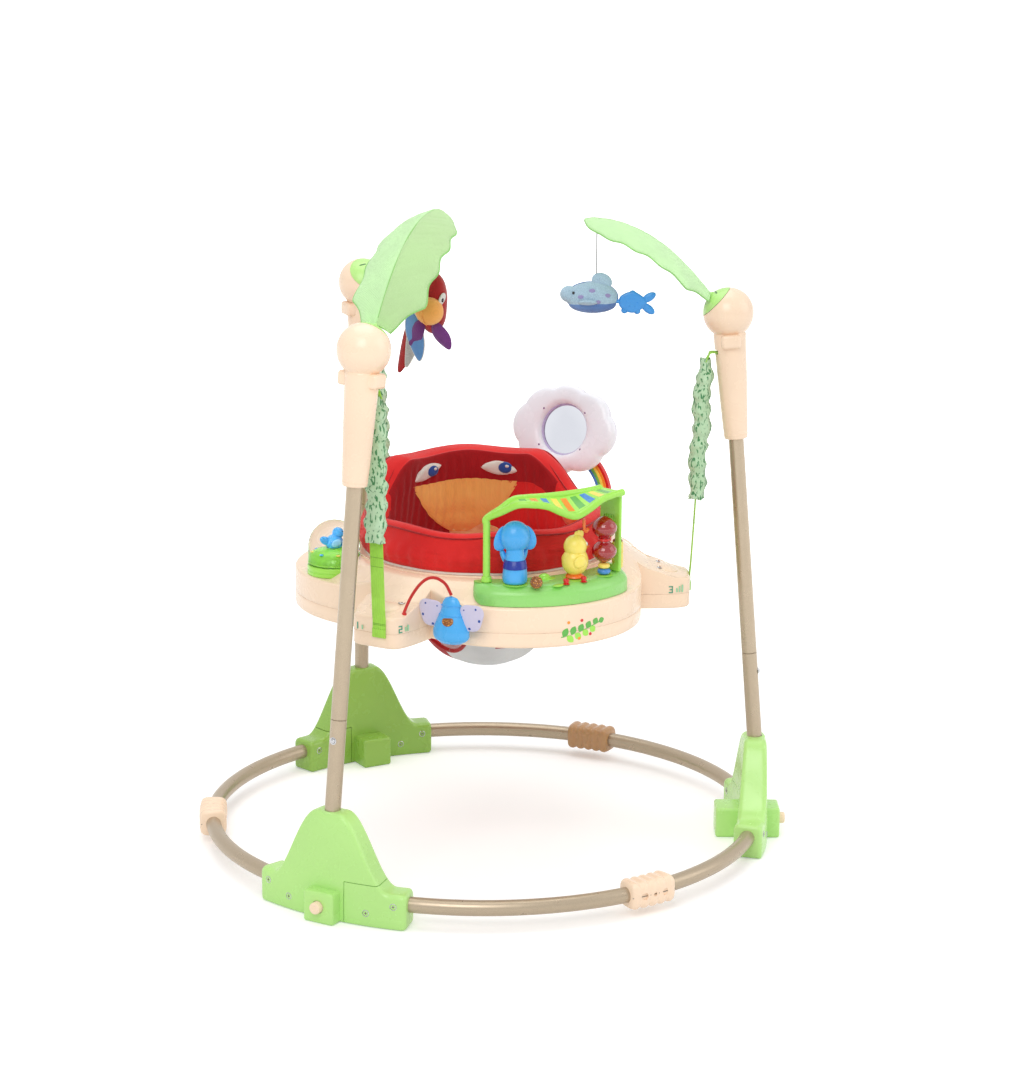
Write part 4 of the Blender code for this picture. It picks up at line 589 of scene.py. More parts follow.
def add(name, mesh, materials, body, nodes=(), leg=None, angle=38.0, ride=True):
    """Finish a piece: materials, smoothing, its place in the frame and the body it rides on."""
    mesh = mesh.copy()
    if leg:
        mesh.transform(rotation(LEGS[leg], "Z"))
    mesh.transform(shifted(0, SHIFT, 0))
    indices = [face.material_index for face in mesh.polygons]
    mesh.materials.clear()
    for material in materials.split():
        mesh.materials.append(MATERIALS[material])
    mesh.polygons.foreach_set("material_index", indices)
    mesh.shade_smooth()
    if angle < 180.0:
        mesh.set_sharp_from_angle(angle=math.radians(angle))
    mesh.name = name
    obj = bpy.data.objects.new(name, mesh)
    scene.collection.objects.link(obj)
    if ride:
        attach(obj, body)
    if nodes:
        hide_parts(*([nodes] if isinstance(nodes, str) else nodes))
    return obj


# Floor ring and couplers

SEAM_AZIMUTH = 65.1


def arc(start_deg, end_deg, step=1.6):
    count = math.ceil(abs(end_deg - start_deg) / step)
    return [polar(RING, start_deg + (end_deg - start_deg) * i / count, RING_HEIGHT) for i in range(count + 1)]


def arc_degrees(length):
    """Angle that a length along the floor ring takes up."""
    return math.degrees(length / RING)


def bent(section, along):
    """Section of (across, height) points set on the floor ring at a length along it."""
    azimuth = arc_degrees(along)
    return [polar(RING + across, azimuth, height) for across, height in section]


def ribbed_bar(half, depth, ridges, rise, steps=70, sides=40):
    rings = []
    for k in range(steps + 1):
        along = -half + 2 * half * k / steps
        phase = ((along + half) / (2 * half) * ridges) % 1.0
        share = max(0.0, math.cos(math.pi * (phase - 0.5))) ** 1.4
        end = min(1.0, (half - abs(along)) / 0.002)
        reach = depth / 2 - rise + rise * share - 0.0018 * (1.0 - end) ** 2
        section = []
        for i in range(sides):
            angle = 2 * math.pi * (i + 0.5) / sides
            square = (abs(math.cos(angle)) ** 4 + abs(math.sin(angle)) ** 4) ** -0.25
            size = reach * square * 0.94
            section.append((size * math.cos(angle), RING_HEIGHT + size * math.sin(angle)))
        rings.append(bent(section, along))
    return loft(rings)


def coupler_mesh():
    """Ribbed clamp with three holes in its outer face and a parting line painted dark, as shade in the gap between
    its halves.
    """
    half, depth = 0.035, 0.042
    body = ribbed_bar(half, depth, ridges=5, rise=0.0022)
    for step, radius in ((-1, 0.005), (0, 0.00275), (1, 0.005)):
        place = rotation(arc_degrees(step * 0.0165), "Z") @ shifted(RING + depth / 2, 0, RING_HEIGHT)
        hole = [(0, -0.004), (radius, -0.004), (radius, 0.01), (0, 0.01)]
        body = cut_away(body, turned(hole, 24, place @ rotation(90, "Y")))
    inner, outer = depth / 2 - 0.0045, depth / 2 - 0.0031
    low, high = RING_HEIGHT - 0.0004, RING_HEIGHT + 0.0004
    line = [(inner, low), (outer, low), (outer, high), (inner, high)]
    seam = loft([bent(line, -half + 2 * half * k / 30) for k in range(31)])
    return moved(joined(body, (seam, 1)), rotation(SEAM_AZIMUTH, "Z"))


# Feet

def foot_height(along):
    """Height of the foot's bell-shaped outline at a length along the ring."""
    shoulder, skirt, low, rise = 0.018, 0.092, 0.050, 0.102
    t = min(1.0, max(0.0, (abs(along) - shoulder) / (skirt - shoulder)))
    return low + rise * (0.5 + 0.5 * math.cos(math.pi * t))


def foot_section(along, inset=0.0):
    top = foot_height(along) - inset
    half = 0.021 - inset
    upper = half - max(0.0, 0.004 * (top - 0.050) / 0.102)
    edge = 0.008
    left = [(-half + 0.003, 0.0005 + inset), (-half + 0.0008, 0.0018 + inset), (-half, 0.004 + inset)]
    left += [(-half, 0.004 + 0.026 * k / 3) for k in range(1, 4)]
    left += [(-upper + edge * inward, top - edge * upward) for inward, upward in rounding(8)]
    return left + [(-across, height) for across, height in reversed(left)]


def foot_blank():
    rim = 0.006
    ends = [(-FOOT_HALF + rim * inward, rim * 0.8 * upward) for inward, upward in rounding(4)]
    run = 2 * (FOOT_HALF - rim)
    middle = [(-FOOT_HALF + rim + run * k / 60, 0.0) for k in range(1, 60)]
    far = [(-along, inset) for along, inset in reversed(ends)]
    return loft([bent(foot_section(along, inset), along) for along, inset in ends + middle + far])


def wing_region(clearance):
    """Room of the folding wing: the foot's far end up to its hinge lines."""
    first, top, below = 0.030 - clearance, 0.060 + clearance, -0.020
    return box((0.2, 2 * FOOT_HALF, top - below), (RING, first + FOOT_HALF, (top + below) / 2))


def screw_mesh(matrix):
    """Sunk cross-head screw; its cross slot is a raised cross in painted shade, in place of a recess."""
    head = turned([(0.0046, 0.0000), (0.0050, 0.0005), (0.0042, 0.0009), (0.0038, 0.0002), (0.0036, -0.0006),
                   (0.0026, 0.0002), (0, 0.0004)], 24)
    length, width = 0.0036, 0.0007
    cross = [(box((x, y, 0.0005), (0, 0, 0.0005)), 1) for x, y in ((length, width), (width, length))]
    return moved(joined(head, *cross), matrix)


def foot_screws():
    screws = []
    for along, height in ((0.060, 0.020), (0.098, 0.034), (-0.060, 0.020), (-0.098, 0.034)):
        for side in (1, -1):
            place = rotation(arc_degrees(along), "Z") @ shifted(RING + side * 0.0207, 0, height)
            screws.append((screw_mesh(place @ rotation(side * 90, "Y")), None))
    return joined(*screws)


def build_floor_parts():
    blank = foot_blank()
    block = box((0.095, 0.048, 0.045), (RING - 0.0085, 0, 0.0225), 0.004, 5)
    foot = combine(cut_away(blank.copy(), wing_region(GAP * 1.5)), block, "UNION")
    knob_place = shifted(0.439, 0, 0.024) @ rotation(90, "Y")
    foot = cut_away(foot, turned([(0, -0.0236), (0.0036, -0.0236), (0.0036, -0.0096), (0.0091, -0.0096),
                                  (0.0091, 0.012), (0, 0.012)], 40, knob_place))
    push_knob = turned([(0, -0.019), (0.003, -0.019), (0.003, -0.005), (0.0079, -0.005), (0.0085, -0.0044),
                        (0.0085, 0.0060), (0.0079, 0.0080), (0.0066, 0.0089), (0.0040, 0.0090), (0.0034, 0.0084),
                        (0, 0.0084)], 48, knob_place)
    snap = turned([(0, 0.0038), (0.0035, 0.0038), (0.0035, 0.0120), (0.0032, 0.0130), (0.0022, 0.0136),
                   (0, 0.0138)], 32, BUTTON_FRAME)
    wing = combine(blank, wing_region(-GAP * 1.5), "INTERSECT")
    collar = turned([(0.0118, -0.004), (0.0152, -0.003), (0.0158, 0.0006), (0.0140, 0.0022), (0.0116, 0.0024)],
                    40, POST_FRAME)
    coupler = coupler_mesh()
    tube_start = arc_degrees(FOOT_HALF - 0.030)
    split = arc_degrees(0.0015)
    long_tube = tube(arc(tube_start, SEAM_AZIMUTH - split), TUBE, 28)
    short_tube = tube(arc(-tube_start, SEAM_AZIMUTH - 120.0 + split), TUBE, 28)
    screws = foot_screws()
    for leg in LEGS:
        # The back foot's deeper green is partly its own colour and partly painted shade, where it stands in shadow.
        green = "green_deep_and_shade" if leg == "back" else "green"
        shell = "tan" if leg == "right" else "beige"
        add(f"foot_shell_{leg}", foot, green, "frame", f"foot_{leg}", leg)
        add(f"foot_wing_shell_{leg}", wing, green, "frame", f"foot_wing_{leg}", leg)
        add(f"push_knob_{leg}", push_knob, "beige", f"knob_{leg}", f"foot_knob_{leg}", leg)
        add(f"snap_pin_{leg}", snap, "steel", f"button_{leg}", f"snap_button_{leg}", leg)
        add(f"foot_collar_{leg}", collar, green, "frame", (), leg)
        # The screws' cross slots and the coupler's parting line take painted shade.
        add(f"foot_screws_{leg}", screws, "steel tower_dark", "frame", (), leg)
        add(f"coupler_shell_{leg}", coupler, f"{shell} tower_dark", "frame", f"coupler_{leg}", leg)
        add(f"ring_tube_long_{leg}", long_tube, "taupe", "frame", f"base_tube_long_{leg}", leg)
        add(f"ring_tube_short_{leg}", short_tube, "taupe", "frame", f"base_tube_short_{leg}", leg)


# Posts and towers

POST_HEAD_POINT = polar(*POST_HEAD)
POST_LENGTH = (POST_HEAD_POINT - POST_FOOT).length


def post_frame():
    """Frame of the leaning post: +Z up the post, +X out of the ring."""
    up = (POST_HEAD_POINT - POST_FOOT).normalized()
    side = up.cross(Vector((1, 0, 0))).normalized()
    return at(POST_FOOT) @ axes(side.cross(up), side, up)


POST_FRAME = post_frame()
BUTTON_FRAME = POST_FRAME @ shifted(0, 0, BUTTON_HEIGHT) @ rotation(90, "Y")
CAP_FRAME = POST_FRAME @ shifted(0, 0, POST_LENGTH) @ rotation(CAP_TILT, "Y")


def ball_arc(first, last, count):
    """Outline of the tower's ball between two angles from its top, about the ball's centre."""
    angles = [math.radians(first + (last - first) * i / count) for i in range(count + 1)]
    return [(BALL * math.sin(angle), BALL * math.cos(angle)) for angle in angles]


def slit(length, width, tilt):
    """Narrow strip that follows the cap's ball, painted dark as the shade in one of its slots."""
    rings = []
    for k in range(13):
        along = length * (k / 12 - 0.5)
        half = width / 2 * math.sqrt(max(0.02, 1.0 - (2 * k / 12 - 1) ** 4))
        ring = []
        for across, lift in ((-half, -0.0010), (half, -0.0010), (half, 0.00025), (-half, 0.00025)):
            direction = Vector((across, along, math.sqrt(BALL ** 2 - across ** 2 - along ** 2))).normalized()
            ring.append(direction * (BALL + lift))
        rings.append(ring)
    return moved(loft(rings), tilt)


def tower_mesh():
    """Housing over the post: flared sleeve, lug, ball top cut flat for the cap, and the strap's slot."""
    foot, foot_reach, steps = 0.449, 0.0171, 10
    neck_angle = 180.0 - math.degrees(math.asin(NECK / BALL))
    sphere = [(radius, POST_LENGTH + height) for radius, height in ball_arc(neck_angle, 0.0, 32)]
    neck = sphere[0][1]
    rise = neck - 0.006 - foot - 0.003
    profile = [(0, foot + 0.001), (0.0118, foot + 0.001), (0.0135, foot), (0.0155, foot + 0.0002),
               (0.0168, foot + 0.0012), (foot_reach, foot + 0.003)]
    for k in range(1, steps + 1):
        profile.append((foot_reach + (NECK - foot_reach) * (k / steps) ** 0.8, foot + 0.003 + rise * k / steps))
    profile += [(NECK + 0.0002, neck - 0.003), (NECK - 0.0006, neck - 0.001)]
    tower = turned(profile + sphere[:-1] + [(0, POST_LENGTH + BALL)], 64)
    tower = combine(tower, box((0.028, 0.062, 0.020), (0, 0, neck - 0.011), 0.0045, 5), "UNION")
    slot = box((0.024, 0.025, 0.006), (-NECK, 0, POST_LENGTH - SLOT_DROP), 0.001, 2)
    above = box((0.2, 0.2, 0.1), (0, 0, CAP_PLANE + 0.05))
    cap_place = shifted(0, 0, POST_LENGTH) @ rotation(CAP_TILT, "Y")
    return moved(cut_away(tower, slot, moved(above, cap_place)), POST_FRAME)


def cap_mesh():
    rim = math.degrees(math.acos((CAP_PLANE + GAP * 2) / BALL))
    cap = turned([(0, CAP_PLANE + GAP * 2)] + ball_arc(rim, 0.0, 14)[:-1] + [(0, BALL)], 56)
    # The cap's slots and crease are raised strips of painted shade, in place of openings.
    slots = [(slit(0.011, 0.0026, rotation(side * 13, "X") @ rotation(14, "Y")), 1) for side in (-1, 1)]
    crease = slit(0.020, 0.0010, rotation(-22, "Y"))
    return moved(joined(cap, *slots, (crease, 1)), CAP_FRAME)


def build_posts():
    seam, chamfer, top = 0.1295, 0.0006, 0.53
    lower = turned([(0, -0.055), (TUBE, -0.055), (TUBE, seam - chamfer), (TUBE - chamfer, seam), (0, seam)],
                   36, POST_FRAME)
    socket = turned([(0, 0.0006), (0.0041, 0.0006), (0.0041, 0.020), (0, 0.020)], 32, BUTTON_FRAME)
    lower = cut_away(lower, socket)
    upper = turned([(0, seam + GAP), (TUBE - chamfer, seam + GAP), (TUBE, seam + GAP + chamfer), (TUBE, top),
                    (0, top)], 36, POST_FRAME)
    tower = tower_mesh()
    cap = cap_mesh()
    band = turned([(0.0170, 0.4545), (0.01765, 0.4550), (0.01765, 0.4562), (0.0170, 0.4567)], 48, POST_FRAME)
    rim = turned([(0.0037, TUBE - 0.0012), (0.0052, TUBE - 0.0002), (0.0052, TUBE + 0.0002),
                  (0.0037, TUBE + 0.0004)], 32, BUTTON_FRAME)
    for leg in LEGS:
        add(f"post_low_{leg}", lower, "taupe", "frame", f"lower_post_{leg}", leg)
        add(f"post_high_{leg}", upper, "taupe", "frame", f"upper_post_{leg}", leg)
        add(f"button_rim_{leg}", rim, "steel", "frame", (), leg)
        add(f"tower_shell_{leg}", tower, "beige", "frame", f"tower_{leg}", leg)
        add(f"tower_ring_{leg}", band, "beige", "frame", (), leg)
        # The cap's second colour is painted shade in its slots and crease.
        add(f"cap_shell_{leg}", cap, "green green_dark", "frame", f"tower_cap_{leg}", leg)


# Leaves

LEAF_BASE = CAP_FRAME @ Vector((0, 0, BALL + 0.005))


def leaf_rib(share, rise):
    """Point of the leaf's middle rib, from 0 at its cap to 1 at its tip."""
    point = LEAF_BASE.lerp(polar(0.140, 3.4, LEAF_BASE.z + rise), share)
    point.z = LEAF_BASE.z + rise * (1.0 - (1.0 - share) ** 2.2)
    return point


def leaf_point(share, side, rise, lift=0.0):
    """Point of the blade; side runs from -1 to 1 and lift is along its thickness."""
    width = max(0.060 * min(1.0, 0.36 + 3.4 * share) * max(0.0, 1.0 - share ** 5) ** 0.5, 0.0045)
    scallop = 1.0 + 0.05 * math.cos(10 * math.pi * share) * side * side
    reach = width * side * scallop
    droop = math.radians(24.0)
    drop = abs(reach) * math.sin(droop) * (0.6 + 0.4 * abs(side))
    point = leaf_rib(share, rise) + Vector((0, reach * math.cos(droop), -drop))
    ahead = leaf_rib(min(1.0, share + 0.01), rise) - leaf_rib(max(0.0, share - 0.01), rise)
    across = Vector((0, math.cos(droop), -math.sin(droop) * (1 if side > 0 else -1) * min(1.0, abs(side) * 4)))
    up = ahead.cross(across).normalized()
    return point + (-up if up.z < 0 else up) * lift


def leaf_thickness(share, side):
    """Height of the quilted face over the blade's middle, sunk along the rib and the veins."""
    thin = max(0.0, 1.0 - abs(side) ** 6) ** 0.5 * min(1.0, (1.0 - share) * 14 + 0.1) ** 0.5
    off_rib = 1.0 - math.exp(-(side / 0.045) ** 2)
    vein = math.exp(-(((share * 9.0 - abs(side) * 2.0) % 1.0 - 0.5) / 0.13) ** 2)
    return (0.0018 + 0.0017 * off_rib) * thin - 0.0005 * vein * off_rib * thin + 0.0002


def leaf_blade(rise, along=84, across=48):
    """Closed quilted blade in two tones, one on each side of its rib."""
    bm = bmesh.new()
    faces = []
    for face_side in (1, -1):
        rows = []
        for i in range(along + 1):
            share = i / along
            row = []
            for j in range(across + 1):
                side = 2.0 * j / across - 1.0
                crumple = 0.0007 * noise.noise(Vector((share * 6, side * 3, rise * 40 + face_side)))
                lift = face_side * leaf_thickness(share, side) + crumple
                row.append(bm.verts.new(leaf_point(share, side, rise, lift)))
            rows.append(row)
        for first, second in zip(rows, rows[1:]):
            for j in range(across):
                face = bm.faces.new((first[j], first[j + 1], second[j + 1], second[j]))
                face.material_index = 0 if j < across // 2 else 1
        faces.append(rows)
    top, low = faces
    border = [(i, 0) for i in range(along + 1)] + [(along, j) for j in range(1, across + 1)]
    border += [(i, across) for i in range(along - 1, -1, -1)] + [(0, j) for j in range(across - 1, 0, -1)]
    for (i, j), (k, m) in zip(border, border[1:] + border[:1]):
        bm.faces.new((top[i][j], top[k][m], low[k][m], low[i][j]))
    return mesh_from(bm)


def leaf_mesh(rise):
    """Padded leaf with a piped edge, a stitched rib and the stem that plugs into the cap."""
    edge = [leaf_point(i / 70, -1, rise) for i in range(71)] + [leaf_point(1 - i / 70, 1, rise) for i in range(71)]
    stem = turned([(0, BALL - 0.003), (0.0035, BALL - 0.003), (0.0035, BALL + 0.004), (0.0030, BALL + 0.0065),
                   (0, BALL + 0.0065)], 24, CAP_FRAME)
    collar = turned([(0.0037, BALL - 0.001), (0.0062, BALL - 0.0008), (0.0066, BALL + 0.0008),
                     (0.0050, BALL + 0.0020), (0.0036, BALL + 0.0022)], 32, CAP_FRAME)
    stitch = [leaf_point(0.03 + 0.9 * i / 60, 0.0, rise, 0.0012) for i in range(61)]
    return joined((leaf_blade(rise), None), (tube(edge, 0.0011, 8), 2), (stem, 3), (collar, 3),
                  (tube(stitch, 0.0013, 8), 2))


def build_leaves():
    for leg, rise in (("left", LEFT_LEAF_RISE), ("right", RIGHT_LEAF_RISE)):
        leaf = add(f"padded_leaf_{leg}", leaf_mesh(rise), "leaf_light leaf_mid piping green", "frame", f"leaf_{leg}",
                   leg, 60.0)


# Straps and sleeves

SLOT_POINT = POST_FRAME @ Vector((-NECK - GAP, 0, POST_LENGTH - SLOT_DROP))


def strap_mesh(points, width=0.021, thickness=0.0016, across=8):
    """Flat woven strap with rounded edges."""
    rings = []
    for i, point in enumerate(points):
        run = (points[min(len(points) - 1, i + 1)] - points[max(0, i - 1)]).normalized()
        normal = run.cross(Vector((0, 1, 0))).normalized()
        front, back = [], []
        for k in range(across + 1):
            side = 2.0 * k / across - 1.0
            half = thickness / 2 * (1.0 - 0.5 * abs(side) ** 8)
            base = point + Vector((0, side * width / 2, 0))
            front.append(base + normal * half)
            back.append(base - normal * half)
        rings.append(front + list(reversed(back)))
    return loft(rings)


def gathered(top, foot, steps=150, sides=60, gathers=8):
    """Cloth tube drawn in at its gathers, with folds down it and a ruffled hem at each end."""
    rings = []
    for i in range(steps + 1):
        share = i / steps
        centre = top.lerp(foot, share)
        swell = (0.25 + 0.75 * smoothstep(0.0, 0.14, share)) * (1.0 - 0.16 * smoothstep(0.90, 1.0, share))
        lean = 0.0016 * math.sin(5.0 * share * math.pi)
        hem = max(0.0, 1.0 - min(share, 1.0 - share) / 0.03)
        ring = []
        for a in around(sides):
            place = Vector((math.cos(a) * 1.4, math.sin(a) * 1.4, share * 13.0))
            fold = noise.noise(place + Vector((3.1, 0, 0)))
            wave = math.cos(2 * math.pi * gathers * share + 1.6 * fold)
            reach = 0.0145 * (0.45 + 0.55 * swell)
            reach *= 1.0 + 0.13 * wave + 0.10 * fold + 0.07 * noise.noise(place * 2.7)
            reach *= 1.0 + hem * (0.10 * math.sin(a * 7 + share * 9) - 0.10)
            ring.append(centre + Vector((0.85 * reach * math.cos(a) + lean, reach * math.sin(a),
                                         0.0012 * math.sin(a * 3 + share * 20))))
        rings.append(ring)
    return loft(rings)


def sleeve_mesh():
    """Gathered sleeve and the end of webbing that leads it out of the tower's slot."""
    top = SLOT_POINT + Vector((-0.012, 0, 0.002))
    top += (SLEEVE_FOOT - top) * (0.012 / (top - SLEEVE_FOOT).length)
    mouth = SLOT_POINT + Vector((0, 0, -0.0009))
    bend = mouth + Vector((-0.005, 0, 0))
    low = top + Vector((0, 0, -0.004))
    path = smooth_path([mouth + Vector((0.008, 0, 0)), bend, bend.lerp(low, 0.4), low], 20)
    return joined(gathered(top, SLEEVE_FOOT), (strap_mesh(path, across=6), 1))


def lower_strap_mesh():
    """Strap from the sleeve to the tray's arm, down its end face, with woven marks and a sewn hem."""
    face = ARM_REACH + GAP + 0.0008
    arm_top = DECK - ARM_DROP
    across = SLEEVE_FOOT.y
    bend = Vector((face + 0.0012, across, arm_top + 0.012))
    knots = [SLEEVE_FOOT + Vector((0, 0, 0.004)), SLEEVE_FOOT.lerp(bend, 0.5), bend]
    knots += [Vector((face, across, height)) for height in (arm_top - 0.003, 0.386, 0.372)]
    path = smooth_path(knots, 60)
    marks = [(box((0.0022, 0.0195, 0.0009), path[k], 0.0004, 2), 1) for k in (6, 9, 42, 44, 55)]
    hem = [Vector((face + 0.0009, across, height)) for height in (0.384, 0.380, 0.376, 0.3722)]
    return joined(strap_mesh(path), *marks, strap_mesh(hem, 0.0212, 0.0018))


def build_straps():
    sleeve = sleeve_mesh()
    strap = lower_strap_mesh()
    for leg in LEGS:
        piece = add(f"gathered_sleeve_{leg}", sleeve, "sleeve_print webbing", "frame", f"sleeve_{leg}",
                    leg, 180.0, ride=False)
        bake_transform(piece)
        add(f"strap_web_{leg}", strap, "webbing webbing_dark", "tray", f"strap_{leg}", leg)


# Tray

def tray_outline(azimuth):
    """Reach of the tray's edge: the collar, three strap arms with square ends and three lobes between them."""
    reach = COLLAR_REACH
    for leg in LEGS.values():
        arm = math.radians((azimuth - leg + 180.0) % 360.0 - 180.0)
        if abs(arm) < math.radians(50):
            along = (abs(math.cos(arm)) / ARM_REACH) ** 7.0
            across = (abs(math.sin(arm)) / 0.046) ** 7.0
            reach = max(reach, (along + across) ** (-1.0 / 7.0))
        lobe = math.radians(azimuth - leg - 60.0)
        chord = 0.175 ** 2 - (0.100 * math.sin(lobe)) ** 2
        reach = max(reach, 0.100 * math.cos(lobe) + math.sqrt(chord))
    return reach


def deck_height(azimuth, reach):
    """Height of the tray's top: the deck, lower on the arms, rising to the collar."""
    height = DECK
    for leg in LEGS.values():
        if abs((azimuth - leg + 180.0) % 360.0 - 180.0) < 11.95:
            height -= ARM_DROP * smoothstep(DECK_INNER, ARM_REACH - 0.012, reach)
    t = (DECK_INNER - reach) / (DECK_INNER - COLLAR_REACH)
    return height + (COLLAR - DECK) * min(1.0, max(0.0, t))


def sector_angles():
    """Azimuths round the tray, closest at the ends of the strap arms."""
    near = [0.0, 1.5, 3.0, 4.5, 5.6, 6.5, 7.1, 7.6, 8.1, 8.5, 8.9, 9.3, 9.8, 10.4, 11.0, 11.6, 12.3, 13.2, 14.4]
    near += [16.0 + 2.0 * k for k in range(22)]
    sector = [-a for a in reversed(near[1:])] + near + [60.0]
    return [azimuth + turn for turn in LEGS.values() for azimuth in sector]


EDGES = [(azimuth, tray_outline(azimuth)) for azimuth in sector_angles()]


def tray_ring(reach, height):
    """Ring round the tray; reach takes its edge there, and height is a number or takes azimuth, edge and reach."""
    ring = []
    for azimuth, edge in EDGES:
        r = reach(edge)
        ring.append(polar(r, azimuth, height(azimuth, edge, r) if callable(height) else height))
    return ring


def tray_top_mesh():
    """Upper shell: outer wall, rounded edge, deck, arms and collar, and the rounded mouth."""
    edge, lip, under = 0.0052, 0.004, TRAY_SEAM + GAP
    rings = [tray_ring(lambda e, i=inset: e - i, height)
             for inset, height in ((0.003, under), (0.0004, under), (0, TRAY_SEAM + 0.0010), (0, TRAY_SEAM + 0.008))]
    for inward, upward in rounding(6):
        rings.append(tray_ring(lambda e, i=inward: e - edge * i,
                               lambda a, e, r, u=upward: deck_height(a, e - edge) - edge * u))
    for inset, limit in ((0.009, 0.262), (0.0105, 0.250), (0.0115, 0.2425), (0.0125, 0.236), (0.014, 0.222),
                         (0.0155, 0.209), (0.017, 0.204)):
        rings.append(tray_ring(lambda e, i=inset, m=limit: min(e - i, m), lambda a, e, r: deck_height(a, r)))
    for inward, upward in rounding(5):
        rings.append(tray_ring(lambda e, u=upward: HOLE + lip * u, COLLAR - lip * inward))
    rings += [tray_ring(lambda e: HOLE, under), tray_ring(lambda e: HOLE + lip, under)]
    return loft(rings, closed=True)


def tray_base_mesh():
    """Lower shell: a rounded rim outside and round the mouth, hollow between them."""
    edge = 0.004
    roof = TRAY_BOTTOM + 0.012
    rings = [tray_ring(lambda e: e - 0.0006, TRAY_SEAM), tray_ring(lambda e: e, TRAY_SEAM - 0.0008)]
    for inward, upward in rounding(5):
        rings.append(tray_ring(lambda e, i=inward: e - edge * i, TRAY_BOTTOM + edge * upward))
    for inset, height in ((0.010, TRAY_BOTTOM), (0.0115, TRAY_BOTTOM + 0.001), (0.012, roof)):
        rings.append(tray_ring(lambda e, i=inset: e - i, height))
    for offset, height in ((0.012, roof), (0.0115, TRAY_BOTTOM + 0.001), (0.010, TRAY_BOTTOM),
                           (0.002, TRAY_BOTTOM), (0.0006, TRAY_BOTTOM + 0.0006), (0, TRAY_BOTTOM + 0.002),
                           (0, TRAY_SEAM)):
        rings.append(tray_ring(lambda e, o=offset: HOLE + o, height))
    return loft(rings, closed=True)


def on_wall(azimuth, height, lift=0.0):
    """Frame on the tray's outer wall whose +Z leaves the wall and whose +Y is up."""
    before, here, after = [polar(tray_outline(a), a, height) for a in (azimuth - 1.5, azimuth, azimuth + 1.5)]
    run = (after - before).normalized()
    out = Vector((run.y, -run.x, 0))
    return at(here + out * lift) @ axes(run, Vector((0, 0, 1)), out)


def wall_patch(outline, azimuth, height, thickness=0.0003):
    """Thin decal that follows the curved wall; outline is a list of (across, up) in metres."""
    bm = bmesh.new()
    front, back = [], []
    for across, up in outline:
        a = azimuth + math.degrees(across / 0.27)
        front.append(bm.verts.new(on_wall(a, height + up, thickness).translation))
        back.append(bm.verts.new(on_wall(a, height + up, -0.0005).translation))
    bm.faces.new(front)
    bm.faces.new(list(reversed(back)))
    for i in range(len(front)):
        j = (i + 1) % len(front)
        bm.faces.new((front[i], front[j], back[j], back[i]))
    return mesh_from(bm)


def placed(outline, x, y, degrees):
    """Flat outline turned about its origin and moved to (x, y)."""
    turn = math.radians(degrees)
    return [(x + a * math.cos(turn) - b * math.sin(turn), y + a * math.sin(turn) + b * math.cos(turn))
            for a, b in outline]


def leaf_outline(x, y, length, width, degrees):
    ahead = [k / 15 for k in range(16)]
    upper = [(t * length, width * math.sin(math.pi * t) ** 0.8) for t in ahead]
    return placed(upper + [(a, -b) for a, b in reversed(upper[1:-1])], x, y, degrees)


NUMBER_BARS = {1: [(0.0, 0.0, 0.0020, 0.0095)],
               2: [(0, 0.0044, 0.0060, 0.0016), (0.0022, 0.0022, 0.0016, 0.0044), (0, 0, 0.0060, 0.0016),
                   (-0.0022, -0.0022, 0.0016, 0.0044), (0, -0.0044, 0.0060, 0.0016)],
               3: [(0, 0.0044, 0.0060, 0.0016), (0.0022, 0.0, 0.0016, 0.0100), (0.0004, 0, 0.0044, 0.0016),
                   (0, -0.0044, 0.0060, 0.0016)]}


def build_height_marks():
    """Plain 1, 2 and 3 with as many rising bars, in place of the printed words."""
    depth = 0.0008
    for number, azimuth in ((1, 205.3), (2, 217.5), (3, 321.2)):
        place = on_wall(azimuth, 0.3840, 0.0001)
        parts = [moved(box((width, height, depth), (x, y, 0)), place)
                 for x, y, width, height in NUMBER_BARS[number]]
        for k in range(number):
            bar = box((0.0022, 0.006 + 0.0024 * k, depth), (0.009 + 0.004 * k, 0.0012 * k - 0.001, 0))
            parts.append((moved(bar, place), 1))
        add(f"height_mark_{number}", joined(*parts), "ink ink_pale", "tray", (), None, 30)


def build_sprig():
    """Plain sprig with dots, in place of the printed picture."""
    azimuth, height = 270.0, 0.378
    stem = [(-0.031 + 0.060 * k / 20, -0.008 + 0.015 * (k / 20) ** 1.3) for k in range(21)]
    shapes = [([(x, y + 0.0006) for x, y in stem] + [(x, y - 0.0006) for x, y in reversed(stem)], 0)]
    for k in range(9):
        x, up = stem[1 + 2 * k]
        shapes.append((leaf_outline(x, up, 0.0135 - 0.0004 * k, 0.0046, (62, -46)[k % 2]), k % 2))
    shapes.append((leaf_outline(0.028, 0.007, 0.010, 0.004, 18), 0))
    for x, up, colour in ((-0.020, 0.012, 2), (0.000, 0.013, 3), (-0.004, -0.012, 2), (0.014, -0.008, 3)):
        shapes.append((oval(x, up, 0.0022, 0.0022, 14), colour))
    parts = [(wall_patch(outline, azimuth, height), colour) for outline, colour in shapes]
    add("sprig_mark", joined(*parts), "leaf_green lime band_orange band_red", "tray", (), None, 30)


